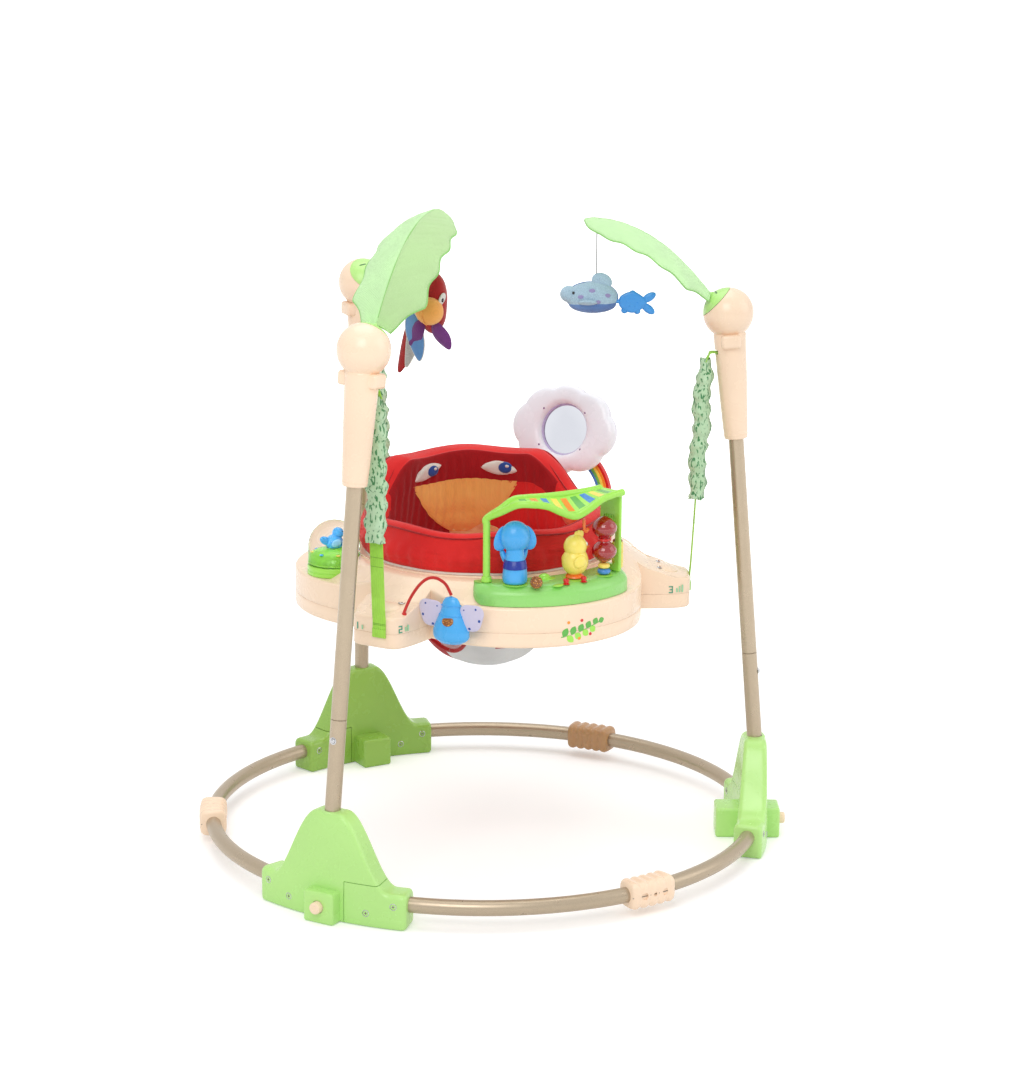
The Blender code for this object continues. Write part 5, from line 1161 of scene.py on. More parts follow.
def build_tray():
    add("tray_upper_shell", tray_top_mesh(), "beige", "tray", "tray_top")
    add("tray_lower_shell", tray_base_mesh(), "beige", "tray", "tray_base")
    rib = [polar(HOLE + 0.022, 360.0 * k / 120, COLLAR + 0.0004) for k in range(121)]
    add("collar_ring", tube(rib, 0.0012, 8), "beige", "tray", ())
    plate_reach, screw_reach = 0.266, 0.252
    for leg, azimuth in LEGS.items():
        plate = ellipsoid((0.017, 0.024, 0.0042), (plate_reach, 0, deck_height(azimuth, plate_reach)),
                          rotation(14.0, "Y"), 40, 16)
        height = deck_height(azimuth, screw_reach) - 0.0004
        screws = [(screw_mesh(shifted(screw_reach, side * 0.018, height)), None) for side in (-1, 1)]
        add(f"arm_plate_{leg}", plate, "beige", "tray", (), leg)
        # The screws' cross slots are painted shade.
        add(f"arm_screws_{leg}", joined(*screws), "steel tower_dark", "tray", (), leg)
    bosses = []
    for k in range(6):
        place = at(polar(0.205, 20 + 60.0 * k, TRAY_BOTTOM + 0.004))
        bosses.append(turned([(0, 0.0085), (0.008, 0.0085), (0.0075, 0), (0.0045, 0), (0.0040, 0.004), (0, 0.004)],
                             24, place))
        bosses.append((screw_mesh(place @ shifted(0, 0, 0.0035) @ rotation(180, "X")), None))
    # The bosses' screw slots are painted shade.
    add("tray_bosses", joined(*bosses), "beige tower_dark", "tray", ())
    build_height_marks()
    build_sprig()


# Pond plate and bridge

BRIDGE_START = 241.5
BRIDGE_FOOT = 0.228
BRIDGE_END = 289.0


def pond_section(azimuth, shrink):
    """Section of the pond plate: it lies on the deck and the collar's slope and ends in a rounded lip."""
    outer = tray_outline(azimuth) - 0.006 - shrink
    inner = COLLAR_REACH + 0.001 + shrink * 0.5
    bend = DECK_INNER + 0.0024
    corner = min(bend, outer - 0.004)
    floor = DECK + 2 * GAP
    inner_low = COLLAR + 0.0028 - max(0.0, inner - COLLAR_REACH) * DECK_SLOPE
    section = [(outer, floor + max(0.0, bend - outer) * DECK_SLOPE), (corner, floor + (bend - corner) * DECK_SLOPE),
               (inner, inner_low), (inner, POND_TOP - 0.002), (inner + 0.0006, POND_TOP - 0.0006),
               (inner + 0.002, POND_TOP)]
    section += [(inner + (outer - inner) * k / 6, POND_TOP + 0.0006 * math.sin(math.pi * k / 6))
                for k in (1, 2, 3, 4)]
    lip = ((0.0125, POND_TOP - 0.0004), (0.010, POND_TOP - 0.0012), (0.0070, POND_TOP - 0.0036),
           (0.0045, POND_LIP + 0.0075), (0.0022, POND_LIP + 0.0048), (0.0006, POND_LIP + 0.0018),
           (0, POND_LIP - 0.001))
    return section + [(outer - inset, height) for inset, height in lip]


def pond_mesh(first=237.0, sweep=58.5, steps=90):
    """Pond plate, drawn in along a quarter round at both ends."""
    rings = []
    for i in range(steps + 1):
        azimuth = first + sweep * i / steps
        end = min(1.0, min(i, steps - i) / 11.0)
        shrink = 0.014 * (1.0 - math.sqrt(max(0.0, 1.0 - (1.0 - end) ** 2)))
        rings.append([polar(reach, azimuth, height) for reach, height in pond_section(azimuth, shrink)])
    return loft(rings)


def pond_pad(reach, azimuth, length, width, turn):
    """Low raised pad moulded on the pond, rounded like a leaf."""
    pad = ellipsoid((length, width, 0.00112), segments=36, rings=12)
    return moved(pad, at(polar(reach, azimuth, POND_TOP)) @ rotation(turn, "Z"))


def rail(reach, dip):
    """Key points of one of the bridge's rails, with the dip that lets the toys show."""
    points = []
    for i in range(11):
        share = i / 10
        out = BRIDGE_FOOT + (reach - BRIDGE_FOOT) * min(1.0, share / 0.25)
        bend = 0.026 * (1.0 - smoothstep(-0.04, 0.24, share))
        sag = dip * math.exp(-((share - 0.60) / 0.16) ** 2)
        azimuth = BRIDGE_START + (BRIDGE_END - BRIDGE_START) * share
        points.append(polar(out, azimuth, BRIDGE_TOP - bend - sag))
    return points


def bridge_panel(back, front):
    """Canopy between the rails, sagging a little along its middle."""
    inset, steps = 0.0015, 10
    rings = []
    for inner, outer in zip(back[8:], front[8:]):
        run = (outer - inner).normalized()
        a, b = inner + run * inset, outer - run * inset
        section = []
        for side, order in ((-1, range(steps + 1)), (1, range(steps, -1, -1))):
            for k in order:
                hollow = 0.0010 * math.sin(math.pi * k / steps)
                section.append(a.lerp(b, k / steps) + Vector((0, 0, side * 0.0015 - hollow)))
        rings.append(section)
    return loft(rings)


def bridge_end():
    """Upright plate at the bridge's right end, with a window and a comb of bars over it."""
    height = BRIDGE_TOP - POND_TOP
    plate = box((0.036, 0.006, height), (0, 0, POND_TOP + height / 2 + GAP * 4), 0.0022, 4)
    window = box((0.020, 0.02, height * 0.62), (0, 0, POND_TOP + height * 0.40), 0.003, 3)
    comb = [box((0.0022, 0.0052, 0.016), (-0.0080 + 0.0040 * k, 0, POND_TOP + height * 0.70 - 0.002), 0.0009, 3)
            for k in range(5)]
    turn = at(polar(0.236, BRIDGE_END, 0)) @ rotation(BRIDGE_END, "Z")
    return moved(joined(cut_away(plate, window), *comb), turn)


def bridge_print(back, front):
    """Plain coloured bands across the canopy, in place of its printed picture."""
    bands = []
    for k, colour in enumerate((0, 1, 2, 3, 1, 0, 2, 3, 0)):
        first = 14 + k * 5
        strip = []
        for inner, outer in zip(back[first:first + 4], front[first:first + 4]):
            span = []
            for j in range(9):
                share = 0.2 + 0.6 * j / 8
                lift = 0.0017 - 0.0010 * math.sin(math.pi * share)
                span.append(inner.lerp(outer, share) + Vector((0, 0, lift)))
            strip.append(span + [point - Vector((0, 0, 0.0012)) for point in reversed(span)])
        bands.append((loft(strip), colour))
    return joined(*bands)


def build_bridge():
    back, front = rail(0.216, 0.0), rail(0.256, 0.022)
    foot = polar(BRIDGE_FOOT, BRIDGE_START, POND_TOP + GAP * 4)
    leg = [foot.lerp(back[0], share) for share in (0.0, 0.35, 0.7, 0.9)]
    bars = [tube(smooth_path(leg + back, 90), 0.0050, 20), tube(smooth_path([leg[3]] + front, 80), 0.0050, 20)]
    sleeve = turned([(0.0050, 0), (0.0072, 0.0005), (0.0076, 0.003), (0.0066, 0.007), (0.0052, 0.008)], 28,
                    at(foot))
    back, front = smooth_path(back, 60), smooth_path(front, 60)
    add("bridge_frame", joined(*bars, bridge_panel(back, front), bridge_end(), sleeve), "lime", "tray", "bridge")
    add("bridge_print", bridge_print(back, front), "leaf_green band_orange band_blue band_yellow", "tray", ())
    hook = [polar(0.246, 274.5, BRIDGE_TOP - 0.030), polar(0.247, 274.5, BRIDGE_TOP - 0.042),
            polar(0.250, 274.8, BRIDGE_TOP - 0.047), polar(0.253, 275.0, BRIDGE_TOP - 0.043)]
    add("bridge_hook", tube(smooth_path(hook, 20), 0.0022, 14), "orange", "tray", ())


def build_pond():
    add("pond_plate", pond_mesh(), "pond", "tray", "pond_base")
    pads = [pond_pad(0.236, 251.0, 0.021, 0.019, 251.0), pond_pad(0.238, 272.5, 0.019, 0.018, 272.5),
            pond_pad(0.246, 283.0, 0.013, 0.013, 0), pond_pad(0.225, 264.0, 0.013, 0.009, 200.0),
            pond_pad(0.262, 263.5, 0.009, 0.006, 20.0)]
    add("pond_pads", joined(*pads), "lime", "tray", ())
    add("pond_mound", ellipsoid((0.009, 0.009, 0.007), polar(0.220, 263.0, POND_TOP)), "lime", "tray", ())
    add("glitter_ball", ellipsoid((0.0088, 0.0088, 0.0088), polar(0.262, 256.5, POND_TOP + 0.0066), None, 40, 28),
        "glitter_amber", "tray", ())
    for k, azimuth in enumerate((266.6, 272.8)):
        knob = turned([(0, 0.0070), (0.0022, 0.0070), (0.0038, 0.0060), (0.0044, 0.0042), (0.0036, 0.0022),
                       (0.0030, 0.0), (0.0052, -0.0006), (0, -0.0008)], 28,
                      at(polar(0.258, azimuth, POND_TOP + 0.0002)))
        add(f"pond_knob_{k}", knob, "band_red", "tray", ())


# Toys on the pond

def toy_frame(reach, azimuth):
    return at(polar(reach, azimuth, POND_TOP)) @ rotation(azimuth, "Z")


def build_elephant():
    """Upright elephant of the builder's own plain design."""
    skull, head = 0.021, 0.067
    body = turned([(0, 0.0015), (0.0150, 0.0015), (0.0164, 0.003), (0.0172, 0.007), (0.0173, 0.012),
                   (0.0166, 0.019), (0.0150, 0.027), (0.0138, 0.034), (0.0124, 0.044), (0.0110, 0.055),
                   (0.0090, head), (0, head + 0.004)], 48)
    band = turned([(0.0170, 0.0225), (0.0167, 0.0235), (0.0150, 0.0335), (0.0140, 0.0345), (0.0128, 0.030)], 48)
    head_ball = ellipsoid((skull * 0.86, skull, skull * 1.05), (0, 0, head - 0.001))
    path = [(-0.013, -0.003), (-0.0215, -0.007), (-0.0262, -0.017), (-0.0262, -0.026), (-0.0238, -0.0335)]
    trunk = smooth_path([Vector((x, 0, head + z)) for x, z in path], 28)
    sizes = [0.0066 - 0.0020 * k / 28 + 0.00025 * math.cos(k * 1.6) for k in range(29)]
    ears, eyes, arms, toes = [], [], [], []
    for side in (-1, 1):
        ear = ellipsoid((0.0040, 0.0120, 0.0180), segments=36, rings=24)
        for vertex in ear.vertices:
            vertex.co.x -= 0.0026 * (1.0 - (vertex.co.y / 0.0120) ** 2)
        turn = rotation(side * 18, "X") @ rotation(side * -14, "Z")
        ears.append(moved(ear, shifted(-0.002, side * 0.0172, head - 0.004) @ turn))
        white, pupil = (-0.0165, side * 0.0072, head + 0.0045), (-0.0182, side * 0.0070, head + 0.0042)
        eyes.append((ellipsoid((0.0022, 0.0036, 0.0042), white, None, 24, 16), 2))
        eyes.append((ellipsoid((0.0013, 0.0018, 0.0023), pupil, None, 20, 12), 3))
        arms.append(ellipsoid((0.0062, 0.0044, 0.0120), (-0.010, side * 0.0135, 0.036), rotation(side * -22, "X"),
                              28, 16))
        toes.append(ellipsoid((0.0068, 0.0072, 0.0058), (-0.0120, side * 0.0085, 0.0062), None, 28, 16))
    shape = joined(body, (band, 1), head_ball, *ears, tube(trunk, sizes, 20), *eyes, *arms, *toes)
    add("elephant", moved(shape, toy_frame(0.236, 251.0)), "blue navy white black", "blue_figure_body",
        "blue_figure", None, 50)


def build_chick():
    radius, height = 0.019, 0.062
    head = height - radius * 0.85
    body = ellipsoid((radius * 0.92, radius, height * 0.33), (0, 0, height * 0.40))
    skull = ellipsoid((radius * 0.85,) * 3, (0, 0, head))
    tufts = [ellipsoid((0.0024, 0.0044, 0.0062), (0, 0.003 + 0.003 * k, head + radius * (0.84 - 0.05 * abs(k - 1))),
                       rotation(24 - 22 * k, "X"), 16, 12) for k in range(3)]
    beak = turned([(0, 0.0095), (0.0016, 0.0080), (0.0036, 0.0040), (0.0050, 0.0)], 24,
                  shifted(0, radius * 0.76, head - 0.003) @ rotation(-90, "X"))
    wings, eyes = [], []
    for side in (-1, 1):
        wings.append(ellipsoid((0.0045, 0.0105, 0.0088), (side * radius * 0.80, -0.002, height * 0.43),
                               rotation(28, "X"), 24, 16))
        white, pupil = (side * 0.0072, radius * 0.70, head + 0.003), (side * 0.0073, radius * 0.79, head + 0.003)
        eyes.append((ellipsoid((0.0026, 0.0018, 0.0032), white, None, 20, 14), 2))
        eyes.append((ellipsoid((0.0014, 0.0012, 0.0018), pupil, None, 16, 10), 3))
    feet = turned([(0, 0.0015), (0.012, 0.0015), (0.0133, 0.0026), (0.0128, 0.0042), (0.0108, 0.0060),
                   (0, 0.0085)], 36)
    shape = joined(body, skull, *tufts, (beak, 1), *wings, *eyes, (feet, 1))
    add("chick", moved(shape, toy_frame(0.238, 272.5)), "yellow orange white black", "bird_body", "bird",
        None, 50)


def build_spinner():
    """Two beads under a red glitter rattle with two lobes."""
    base, tall, radius, steps = 0.018, 0.066, 0.0175, 48
    lower = turned([(0, 0.0015), (0.0058, 0.0015), (0.0082, 0.0030), (0.0094, 0.0058), (0.0082, 0.0084),
                    (0.0046, 0.0096), (0, 0.0096)], 40)
    upper = turned([(0, 0.0098), (0.0046, 0.0098), (0.0078, 0.0112), (0.0086, 0.0138), (0.0074, 0.0162),
                    (0.0042, 0.0176), (0, 0.0176)], 40)
    profile = [(0, base), (0.003, base)]
    for i in range(1, steps):
        share = i / steps
        lobe = abs(math.sin(2 * math.pi * share)) ** 0.62
        core = 0.0078 if 0.4 < share < 0.6 else 0.0034
        profile.append((max(core, radius * lobe), base + tall * share))
    rattle = turned(profile + [(0.003, base + tall - 0.0002), (0, base + tall)], 56)
    waist = turned([(0.0080, base + tall * 0.47), (0.0092, base + tall * 0.485), (0.0092, base + tall * 0.515),
                    (0.0080, base + tall * 0.53)], 36)
    shape = joined(lower, (upper, 1), (rattle, 2), (waist, 3))
    add("spinner", moved(shape, toy_frame(0.247, 283.0)), "band_blue yellow glitter band_red", "bead_spinner_body",
        "bead_spinner", None, 60)


def build_roller():
    radius = 0.0080
    barrel = turned([(0, 0.0015), (0.0055, 0.0015), (0.0070, 0.0022), (0.0079, 0.0040), (radius, 0.0055),
                     (0.0074, 0.0075), (radius, 0.0095), (radius, 0.021), (0.0073, 0.0225), (radius, 0.024),
                     (radius, 0.036), (0.0078, 0.0380), (0.0066, 0.0400)], 40)
    cap = turned([(0.0062, 0.0398), (0.0070, 0.0404), (0.0066, 0.0420), (0.0045, 0.0436), (0, 0.044)], 36)
    add("roller_barrel", moved(joined(barrel, (cap, 1)), toy_frame(0.238, 292.3)), "yellow dark_red",
        "roller_body", "roller", None, 60)


# Dome toy

DOME_FRAME = shifted(*polar(0.2245, 168.0, DECK))
DOME_RADIUS = 0.0385
DOME_BASE_TOP = 0.014


def dome_profile(radius, spring):
    """Quarter round of the dome's cover, from its spring up to its top."""
    arch = [(radius * math.cos(math.radians(a)), spring + radius * math.sin(math.radians(a)))
            for a in range(6, 90, 6)]
    return [(radius, spring)] + arch + [(0, spring + radius)]


def dome_figure():
    """Turning hill with flowers and a plain blue bird on top."""
    foot, reach = DOME_BASE_TOP + GAP, 0.0333
    crown = foot + 0.024
    hill = turned([(0, foot), (reach, foot), (reach * 0.99, foot + 0.004), (reach * 0.93, foot + 0.010),
                   (reach * 0.82, foot + 0.016), (reach * 0.62, foot + 0.0205), (reach * 0.34, foot + 0.0232),
                   (0, crown)], 56)
    body = ellipsoid((0.011, 0.0088, 0.0099), (0, 0, crown + 0.0055))
    head = ellipsoid((0.007, 0.007, 0.007), (0.005, 0, crown + 0.0165), None, 28, 20)
    tail = ellipsoid((0.009, 0.003, 0.005), (-0.012, 0, crown + 0.0088), rotation(30, "Y"), 24, 14)
    beak = turned([(0, 0.0050), (0.0010, 0.0040), (0.0022, 0)], 20,
                  shifted(0.0112, 0, crown + 0.016) @ rotation(90, "Y"))
    wings, eyes = [], []
    for side in (-1, 1):
        wings.append((ellipsoid((0.0070, 0.0022, 0.0048), (-0.001, side * 0.0084, crown + 0.0062),
                                rotation(-18, "Y"), 24, 14), 2))
        eyes.append((ellipsoid((0.0012, 0.0008, 0.0014), (0.0093, side * 0.0044, crown + 0.0186), None, 14, 10), 3))
    flowers = [(ellipsoid((0.0030, 0.0030, 0.0014), polar(reach * 0.80, 51.0 * k, foot + 0.0168), None, 16, 10),
                4 if k % 2 else 1) for k in range(7)]
    return joined(hill, (body, 1), (head, 1), (tail, 1), (beak, 4), *wings, *eyes, *flowers)


def build_dome():
    radius, top = DOME_RADIUS, DOME_BASE_TOP
    base = turned([(0, GAP), (radius - 0.0006, GAP), (radius, 0.0010), (radius, 0.0050), (radius - 0.0008, 0.0056),
                   (radius - 0.0008, 0.0068), (radius, 0.0074), (radius, top - 0.0016),
                   (radius - 0.0006, top - 0.0005), (radius - 0.0018, top), (0.0350, top), (0.0345, top - 0.0010),
                   (0, top - 0.0010)], 72, DOME_FRAME)
    add("dome_foot", base, "lime", "tray", "dome_base")
    outer, wall, spring = radius - 0.0012, 0.0014, top + 0.026
    rim = outer + 0.0004
    profile = [(rim, top + GAP), (rim, top + 0.0016), (outer, top + 0.0022)] + dome_profile(outer, spring)
    profile += list(reversed(dome_profile(outer - wall, spring))) + [(outer - wall, top + GAP), (rim, top + GAP)]
    add("dome_bell", turned(profile, 64, DOME_FRAME), "clear", "tray", "dome_cover", None, 60)
    add("dome_hill", moved(dome_figure(), DOME_FRAME), "dome_lime blue sky black band_yellow", "dome_figure_body",
        "dome_figure", None, 50)
    band = [DOME_FRAME @ polar(outer + 0.0002, a, top + 0.0035) for a in range(0, 361, 6)]
    add("dome_band", tube(band, 0.0006, 8), "lime", "tray", ())


# Cloud mirror on its arch

CLOUD_TILT = 15.0
CLOUD_THICKNESS = 0.022
CLOUD_PLACE = polar(0.2355, 30.0, 0.569)
ARCH_SPRING = 0.470
ARCH_RADIUS = 0.067


def cloud_edge(angle):
    """Scalloped oval of the cloud."""
    base = ((math.cos(angle) / 0.086) ** 2 + (math.sin(angle) / 0.065) ** 2) ** -0.5
    lobes = abs(math.cos(4 * angle + 0.2)) ** 0.7
    return base + 0.003 * (2 * lobes - 1)


def cloud_mesh(hole=0.039):
    rings = []
    for angle in around(144):
        outer = cloud_edge(angle)
        middle, half = (outer + hole) / 2, (outer - hole) / 2
        section = []
        for turn in around(28):
            reach = middle + half * math.copysign(abs(math.cos(turn)) ** 0.7, math.cos(turn))
            depth = CLOUD_THICKNESS / 2 * math.copysign(abs(math.sin(turn)) ** 0.8, math.sin(turn))
            section.append(Vector((depth, reach * math.cos(angle), reach * math.sin(angle))))
        rings.append(section)
    return loft(rings, closed=True)


def build_cloud():
    facing = rotation(90, "Y")
    disc = turned([(0, -0.0015), (0.0415, -0.0015), (0.0415, 0.0010), (0, 0.0012)], 72,
                  shifted(-0.0044, 0, 0) @ facing)
    bezel = turned([(0.0415, -0.0010), (0.0415, 0.0030), (0.0404, 0.0042), (0.0386, 0.0044), (0.0372, 0.0034),
                    (0.0366, 0.0012)], 72, shifted(-0.0040, 0, 0) @ facing)
    back = turned([(0, -0.0105), (0.036, -0.0100), (0.040, -0.0080), (0.041, -0.0030)], 60, facing)
    dots = []
    for degrees in (38, 90, 142, 218, 270, 322):
        across = polar(0.0455, degrees, 0)
        dots.append((ellipsoid((0.0009, 0.0019, 0.0019), (0.0088, across.x, across.y), None, 16, 10), 3))
    shape = joined(cloud_mesh(), (disc, 1), (bezel, 2), back, *dots)
    place = at(CLOUD_PLACE) @ rotation(210.0, "Z") @ rotation(-CLOUD_TILT, "Y")
    add("cloud_mirror", moved(shape, place), "cloud mirror mauve purple", "tray", "cloud_frame",
        None, 50)


def arch_band(low, high, drop):
    """One colour of the arch: up from its foot, over a half turn and down."""
    legs = (drop, drop * 0.66, drop * 0.33)
    stations = [(0.0, -leg) for leg in legs] + [(180.0 * i / 48, 0.0) for i in range(49)]
    stations += [(180.0, -leg) for leg in reversed(legs)]
    face = ((0.0, 0.0006), (0.12, 0.0001), (0.5, -0.0001), (0.88, 0.0001), (1.0, 0.0006))
    section = list(face) + [(share, 0.0080 - depth) for share, depth in reversed(face)]
    rings = []
    for degrees, shift in stations:
        ring = []
        for share, depth in section:
            across = polar(low + (high - low) * share, degrees, 0)
            ring.append(Vector((depth, across.x, across.y + shift)))
        rings.append(ring)
    return loft(rings)


def build_arch():
    """Rainbow arch that carries the cloud: its front touches the cloud's leaning back at the arch's top."""
    tilt = math.radians(CLOUD_TILT)
    crown = ARCH_SPRING + ARCH_RADIUS + 0.011
    plane = 0.2355 + CLOUD_THICKNESS / 2 / math.cos(tilt) + (crown - CLOUD_PLACE.z) * math.tan(tilt) - 0.0038
    drop = ARCH_SPRING - DECK - GAP * 2
    width = 0.0044
    place = at(polar(plane, 30.0, ARCH_SPRING)) @ rotation(30.0, "Z")
    bands = []
    for index in range(5):
        low = ARCH_RADIUS - 2.5 * width + width * index
        bands.append((arch_band(low, low + width, drop), index))
    add("rainbow_arch", moved(joined(*bands), place), "band_blue band_green band_yellow band_orange band_red",
        "tray", "cloud_arch", None, 30)
    feet = [box((0.0150, 0.0300, 0.0040), (0.004, side * ARCH_RADIUS, -drop + 0.0024), 0.0016, 3)
            for side in (-1, 1)]
    add("arch_feet", moved(joined(*feet), place), "lime", "tray", ())


# Seat

BACK = 75.0
SEAT_BOTTOM = 0.272
CLOTH = 0.005
LEG_HOLE_HEIGHT = 0.335
LEG_HOLE = (0.038, 0.046)
SEAT_TONES = "seat_red seat_dark seat_orange seat_peach seat_grey"

# Steps of the cloth's profile, from the middle of its floor up the inside, over the rim and down the outside.
INNER_LIP = 6.0
RIM = 6.5
OUTER_SEAM = 12.4


def back_share(azimuth):
    """1 at the middle of the backrest, falling to 0 at the seat's sides."""
    return smoothstep(0.30, 0.72, math.cos(math.radians(azimuth - BACK)))


def sling_reach(azimuth, height, inset):
    """Reach of the hanging sling, round at the tray's mouth and oval at its bottom."""
    mouth = HOLE - GAP * 3 - 0.004
    depth = (COLLAR - height) / (COLLAR - SEAT_BOTTOM)
    turn = math.radians(azimuth - BACK)
    bottom = ((math.cos(turn) / 0.066) ** 2 + (math.sin(turn) / 0.055) ** 2) ** -0.5
    return mouth + (bottom - mouth) * min(1.0, max(0.0, depth) ** 1.7) - inset


def seat_profile(azimuth):
    """Key (reach, height) points of the cloth at an azimuth, one for each step."""
    back = back_share(azimuth)
    wave = math.sin(math.radians(azimuth * 6))
    lip = COLLAR + 2 * GAP + 0.003
    top = 0.495 + 0.060 * back + 0.0025 * wave
    drop = COLLAR - SEAT_BOTTOM
    depths = (0.14, 0.34, 0.58, 0.80, 0.93)
    points = [(sling_reach(azimuth, SEAT_BOTTOM, 0.014 + CLOTH), SEAT_BOTTOM + CLOTH)]
    for depth in reversed(depths):
        height = COLLAR - depth * (drop - CLOTH)
        points.append((sling_reach(azimuth, height, CLOTH), height))
    points += [(0.140 - 0.010 * back, COLLAR + 0.020), (0.146 - 0.016 * back, top - 0.014),
               (0.154 - 0.016 * back, top - 0.003), (0.163 - 0.013 * back, top), (0.172 - 0.010 * back, top - 0.005),
               (0.176 - 0.006 * back, top - 0.020), (0.183 + 0.002 * wave, lip + 0.018), (0.179, lip + 0.002),
               (0.174, lip), (sling_reach(azimuth, COLLAR, 0.0), lip)]
    for depth in depths:
        height = COLLAR - depth * drop
        points.append((sling_reach(azimuth, height, 0.0), height))
    points.append((sling_reach(azimuth, SEAT_BOTTOM, 0.012), SEAT_BOTTOM))
    return [Vector((reach, 0, height)) for reach, height in points]


def cushion(step, azimuth):
    """How far the backrest's cushion stands into the seat at a step of the profile."""
    share = (step - RIM) / 2.5
    return 0.011 * back_share(azimuth) * math.sin(math.pi * share) ** 0.6 if 0.0 < share < 1.0 else 0.0


def tent(step, centre, half):
    """1 at a step of the profile, falling to 0 on both sides."""
    return max(0.0, 1.0 - abs(step - centre) / half)


def folds(step, angle, height):
    """Folds and puckers of the cloth, outward when positive."""
    def around_seat(wide, tall):
        return noise.noise(Vector((math.cos(angle) * wide, math.sin(angle) * wide, height * tall)))

    fold = 0.0018 * around_seat(3.2, 26.0) + 0.0007 * around_seat(9.6, 78.0)
    if step < RIM:
        hang = math.sin(math.pi * step / RIM)
        fold += hang * 0.0034 * (math.cos(angle * 13 + 1.6 * around_seat(1.6, 13.0)) - 1.0)
    if step > 14.5:
        fold *= 0.5
    if 9.5 < step < 12.5:
        fold += 0.0022 * around_seat(9.0, 14.0)
    if 11.5 < step < 14.0:
        fold += 0.0030 * (around_seat(5.0, 20.0) - 0.3)
    return fold


def cloth_point(knots, step, azimuth, lift=0.0):
    """Point of the cloth at a step of its profile, with folds, puckered seams and the cushion."""
    k = min(int(step), len(knots) - 2)
    before = knots[k - 1] if k else knots[0] * 2 - knots[1]
    after = knots[k + 2] if k + 2 < len(knots) else knots[-1] * 2 - knots[-2]
    point = catmull(before, knots[k], knots[k + 1], after, step - k)
    angle = math.radians(azimuth)
    reach = point.x + folds(step, angle, point.z) - cushion(step, azimuth)
    if 5.4 < step < 7.0 or 11.2 < step < 12.8:
        reach += 0.0010 * math.cos(angle * 54)
    reach += 0.0030 * tent(step, INNER_LIP, 0.35)
    if back_share(azimuth) < 0.9:
        reach -= 0.0014 * tent(step, OUTER_SEAM, 0.3)
    return polar(reach - lift, azimuth, point.z)


def lining(low, high, left, right, lift, rows=26, columns=70):
    """Sewn panel on the inside of the cloth between two steps; left and right give its edges in degrees."""
    bm = bmesh.new()
    grid = []
    for i in range(rows + 1):
        step = low + (high - low) * i / rows
        line = []
        for j in range(columns + 1):
            azimuth = BACK + left(step) + (right(step) - left(step)) * j / columns
            edge = min(1.0, min(i, rows - i) / 2.0) * (1.0 if 1 < j < columns - 1 else 0.4)
            line.append(bm.verts.new(cloth_point(seat_profile(azimuth), step, azimuth, lift * edge)))
        grid.append(line)
    for first, second in zip(grid, grid[1:]):
        for j in range(columns):
            bm.faces.new((first[j], first[j + 1], second[j + 1], second[j]))
    return mesh_from(bm)


def seat_tone(step, turn):
    """Colour of the cloth: 0 red, 1 dark red, 4 grey; turn is the angle from the backrest's middle."""
    away = abs(turn)
    if step < 0.9 or (step >= 17.2 and away > 122.0):
        return 4
    if step < 6.57:
        return 1 if 0.0 < turn < 112.0 and step > 5.1 else 0
    if step < 7.7:
        return 1 if away < 64.0 else 0
    return 0 if step < 17.2 else 1


def leg_hole(side):
    """Cutter for one leg hole, and the binding sewn round it."""
    half_up, half_across = LEG_HOLE
    aim = rotation(BACK + 180.0 + side * 52.0, "Z")
    cutter = turned([(0, 0.045), (1, 0.045), (1, 0.20), (0, 0.20)], 48,
                    Matrix.Diagonal((half_up, half_across, 1, 1)))
    edge = []
    for a in around(64, True):
        height = LEG_HOLE_HEIGHT - half_up * math.cos(a)
        spot = aim @ Vector((0.1, half_across * math.sin(a), 0))
        azimuth = math.degrees(math.atan2(spot.y, spot.x))
        edge.append(polar(sling_reach(azimuth, height, 0.0025), azimuth, height))
    return moved(cutter, shifted(0, 0, LEG_HOLE_HEIGHT) @ aim @ rotation(90, "Y")), tube(edge, 0.0030, 10)


def seat_mesh(sides=360, per=7):
    """The seat's one cloth with two bound leg holes."""
    columns = []
    for i in range(sides):
        azimuth = 360.0 * i / sides
        knots = seat_profile(azimuth)
        columns.append([cloth_point(knots, row / per, azimuth) for row in range(per * (len(knots) - 1) + 1)])

    def paint(row, column):
        return seat_tone((row + 0.5) / per, (360.0 * column / sides - BACK + 180.0) % 360.0 - 180.0)

    seat = loft(list(zip(*columns)), paint=paint)
    for tone in SEAT_TONES.split():
        seat.materials.append(MATERIALS[tone])
    cutters, bindings = zip(*[leg_hole(side) for side in (-1, 1)])
    faces = len(seat.polygons)
    seat = cut_away(seat, *cutters)
    assert len(seat.polygons) > faces * 0.7
    return joined((seat, None), *[(binding, 5) for binding in bindings])


def patch_on(surface, outline, lift):
    """Sewn patch: outline is (across, up) points put on a surface function, slightly domed."""
    bm = bmesh.new()
    centre_x = sum(x for x, _ in outline) / len(outline)
    centre_y = sum(y for _, y in outline) / len(outline)
    rows = []
    for share, rise in ((1.0, -0.5), (0.985, 0.35), (0.90, 0.85), (0.6, 1.0), (0.3, 1.05)):
        rows.append([bm.verts.new(surface(centre_x + (x - centre_x) * share, centre_y + (y - centre_y) * share,
                                          lift * rise)) for x, y in outline])
    for lower, upper in zip(rows, rows[1:]):
        for i in range(len(outline)):
            j = (i + 1) % len(outline)
            bm.faces.new((lower[i], lower[j], upper[j], upper[i]))
    bm.faces.new(rows[-1])
    return mesh_from(bm)


